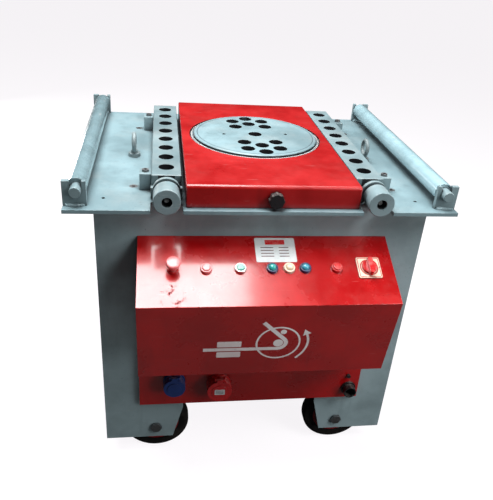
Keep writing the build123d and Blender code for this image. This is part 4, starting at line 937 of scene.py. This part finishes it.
def bent_bar_sign():
    """Pictogram of a bar bent round the turntable's centre pin, painted on the console's front."""
    place = front_face() @ Matrix.Translation((-8 * MM, -8 * MM, 0))
    hub = Vector((34 * MM, 0))
    pin, bar, disc, bend_angle = 13 * MM, 11 * MM, 56 * MM, 44
    sunk, raised = -0.1 * MM, 0.3 * MM

    round_pin = pin + bar / 2 + 1.5 * MM
    bend = arc(hub, round_pin, -90, bend_angle)
    arm_turn = math.radians(bend_angle)
    out = Vector((math.cos(arm_turn), math.sin(arm_turn)))
    along = Vector((-out.y, out.x))
    elbow = hub + round_pin * out
    stroke([(-158 * MM, -round_pin)] + bend + [tuple(elbow + 84 * MM * along)], bar, place, "sign_bar")
    stroke(arc(hub, disc, 0, 360, 72), 5 * MM, place, "sign_turntable", 0.2 * MM)
    sign_dot("sign_centre_pin", place @ Matrix.Translation((*hub, 0)), pin / MM)
    bending = elbow + 22 * MM * along + (bar / 2 + 9.5 * MM) * out
    sign_dot("sign_bending_pin", place @ Matrix.Translation((*bending, 0)), 8)

    for number, off in enumerate((19 * MM, -19 * MM)):
        spot = place @ Matrix.Translation((-92 * MM, -round_pin + off, 0))
        block = slab(rounded_box(62 * MM, 20 * MM, 3 * MM), sunk, raised, spot, 0)
        add_piece(f"sign_stop_{number + 1}", block, EXTRA["marking"], "frame")

    sweep = disc + 22 * MM
    stroke(arc(hub, sweep, -48, 24, 24), 6 * MM, place, "sign_arrow_shaft")
    tip = arc(hub, sweep, 22, 23, 1)[0]
    spot = place @ Matrix.Translation((*tip, 0)) @ Matrix.Rotation(math.radians(24), 4, "Z")
    head = slab([(-11 * MM, 0), (11 * MM, 0), (0, 20 * MM)], sunk, raised, spot, 0)
    add_piece("sign_arrow_head", head, EXTRA["marking"], "frame")


def panel_screws():
    """Screws round the lower panel and on the console's sides."""
    low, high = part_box("lower_panel")
    inset, count = 14 * MM, 5
    for number in range(count):
        x = low.x + inset + number * (high.x - low.x - 2 * inset) / (count - 1)
        screw_head(f"panel_screw_{number + 1}", (x, low.y, low.z + 12 * MM), (0, -1, 0), 4 * MM)
    for side, x, out in (("left", CONSOLE[0].x, -1), ("right", CONSOLE[1].x, 1)):
        for number, z in enumerate((0.15, 0.5, 0.82)):
            place = (x, CONSOLE[1].y - 16 * MM, CONSOLE[0].z + z * (CONSOLE[1].z - CONSOLE[0].z))
            screw_head(f"console_screw_{side}_{number + 1}", place, (out, 0, 0), 4.2 * MM)


def socket_details():
    """Grip ribs on the collars and a plain label on the red lid."""
    for colour in ("blue", "red"):
        low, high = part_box(f"{colour}_socket")
        radius = (high.x - low.x) / 2
        place = frame_at(((low.x + high.x) / 2, low.y, low.z + radius), (0, 1, 0))
        inner, outer = radius / MM - 4.5, radius / MM - 1.0
        collar = [(inner, 3), (outer, 3.4), (outer, 17), (inner, 17.6)]
        slot = f"{colour}_plastic"
        turned(f"{colour}_socket_collar", collar, place, MATERIALS[slot], "frame",
               0.6 * MM, 120, rim_wave(30, 0.014))
    low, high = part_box("red_socket_lid")
    place = frame_at(((low.x + high.x) / 2, low.y, low.z + (high.x - low.x) / 2), (0, -1, 0))
    label = slab(rounded_box(30 * MM, 19 * MM, 2 * MM), 0.0, 0.2 * MM, place, 0)
    add_piece("red_lid_label", label, EXTRA["label"], "red_lid")
    for row in range(3):
        spot = place @ Matrix.Translation((0, (5 - 5 * row) * MM, 0))
        line = slab(rounded_box(22 * MM, 1.6 * MM, 0.7 * MM), 0.2 * MM, 0.3 * MM, spot, 0)
        add_piece(f"red_lid_line_{row + 1}", line, EXTRA["print"], "red_lid")


# ---- stage ------------------------------------------------------------------------------------
def floor():
    """Plain floor, pale as the camera sees it and dark for the light that falls on it."""
    bm = bmesh.new()
    bmesh.ops.create_grid(bm, x_segments=1, y_segments=1, size=40.0)
    mesh = bpy.data.meshes.new("floor")
    bm.to_mesh(mesh)
    bm.free()
    plane = bpy.data.objects.new("floor", mesh)
    plane.location.z = -0.5 * MM
    bpy.context.scene.collection.objects.link(plane)
    material = bpy.data.materials.new("pale_floor")
    material.use_nodes = True
    tree = material.node_tree
    tree.nodes.remove(tree.nodes["Principled BSDF"])

    def shader(kind, colour):
        node = tree.nodes.new(kind)
        node.inputs["Color"].default_value = (*colour, 1.0)
        return node.outputs[0]

    def blend(share, first, second):
        node = tree.nodes.new("ShaderNodeMixShader")
        for socket, value in zip(node.inputs[1:], (first, second)):
            tree.links.new(value, socket)
        if isinstance(share, float):
            node.inputs[0].default_value = share
        else:
            tree.links.new(share, node.inputs[0])
        return node.outputs[0]

    glow = shader("ShaderNodeEmission", (1.16, 1.13, 1.16))
    seen = blend(0.78, shader("ShaderNodeBsdfDiffuse", (0.9, 0.9, 0.9)), glow)
    bounced = shader("ShaderNodeBsdfDiffuse", (0.085, 0.085, 0.085))
    path = tree.nodes.new("ShaderNodeLightPath")
    output = tree.nodes["Material Output"].inputs["Surface"]
    tree.links.new(blend(path.outputs["Is Camera Ray"], bounced, seen), output)
    mesh.materials.append(material)


def softbox(name, place, aim, size, power):
    """Rectangular area light at a place, turned towards its aim."""
    light = bpy.data.lights.new(name, "AREA")
    light.shape = "RECTANGLE"
    light.size, light.size_y = size
    light.energy = power
    lamp = bpy.data.objects.new(name, light)
    lamp.location = place
    lamp.rotation_euler = (Vector(aim) - Vector(place)).to_track_quat("-Z", "Y").to_euler()
    bpy.context.scene.collection.objects.link(lamp)


def sky():
    """Dim world for the lighting, pale where the camera sees it."""
    world = bpy.data.worlds.new("studio")
    world.use_nodes = True
    tree = world.node_tree
    lit = tree.nodes["Background"]
    lit.inputs["Color"].default_value = (0.92, 0.95, 1.0, 1.0)
    lit.inputs["Strength"].default_value = 0.03
    seen = tree.nodes.new("ShaderNodeBackground")
    seen.inputs["Color"].default_value = (0.91, 0.90, 0.91, 1.0)
    mix = tree.nodes.new("ShaderNodeMixShader")
    path = tree.nodes.new("ShaderNodeLightPath")
    tree.links.new(path.outputs["Is Camera Ray"], mix.inputs[0])
    tree.links.new(lit.outputs[0], mix.inputs[1])
    tree.links.new(seen.outputs[0], mix.inputs[2])
    tree.links.new(mix.outputs[0], tree.nodes["World Output"].inputs["Surface"])
    bpy.context.scene.world = world


def lighting():
    """Studio lights: large over the table's left, the rest filling from the right and from behind."""
    sky()
    softbox("overhead_softbox", (-0.42, -0.15, 2.6), (-0.42, -0.15, 0.0), (1.3, 1.5), 92)
    softbox("right_fill", (2.7, -2.4, 1.2), (0.1, -0.1, 0.5), (1.4, 1.4), 35)
    softbox("rear_strip", (0.35, 1.7, 3.7), (0.1, 0.0, 0.9), (3.6, 0.5), 62)
    softbox("rear_fill", (-2.4, 3.0, 0.75), (0.0, 0.2, 0.45), (1.6, 1.1), 46)
    softbox("high_right_fill", (1.7, -1.5, 2.7), (0.1, 0.0, 0.6), (1.1, 1.1), 52)


CAMERA_AT = (-0.264, -1.637, 1.478)
CAMERA_RIGHT = (0.98823, -0.13447, 0.07292)
CAMERA_FORWARD = (0.15297, 0.86582, -0.47640)
SENSOR_WIDTH = 36.0
LENS = 42.55
SHIFT = (-0.0126, -0.0054)


def camera():
    """Camera above the operator's left, turned slightly about its own axis."""
    data = bpy.data.cameras.new("camera")
    data.sensor_width = SENSOR_WIDTH
    data.lens = LENS
    data.shift_x, data.shift_y = SHIFT
    eye = bpy.data.objects.new("camera", data)
    back = -Vector(CAMERA_FORWARD).normalized()
    right = Vector(CAMERA_RIGHT).normalized()
    turn = Matrix((right, back.cross(right), back)).transposed().to_4x4()
    eye.matrix_world = Matrix.Translation(CAMERA_AT) @ turn
    bpy.context.scene.collection.objects.link(eye)
    bpy.context.scene.camera = eye


# ---- build ------------------------------------------------------------------------------------
dress_frame()
finish_edges()
bracket_welds()
yoke_welds()
index_ticks()
rollers()
screw_ends()
road_wheels()
bezels()
pilot_lenses()
push_caps()
estop_head()
isolator_marks()
nameplate()
bent_bar_sign()
panel_screws()
socket_details()
floor()
lighting()
camera()
bpy.context.scene.view_settings.view_transform = "Standard"
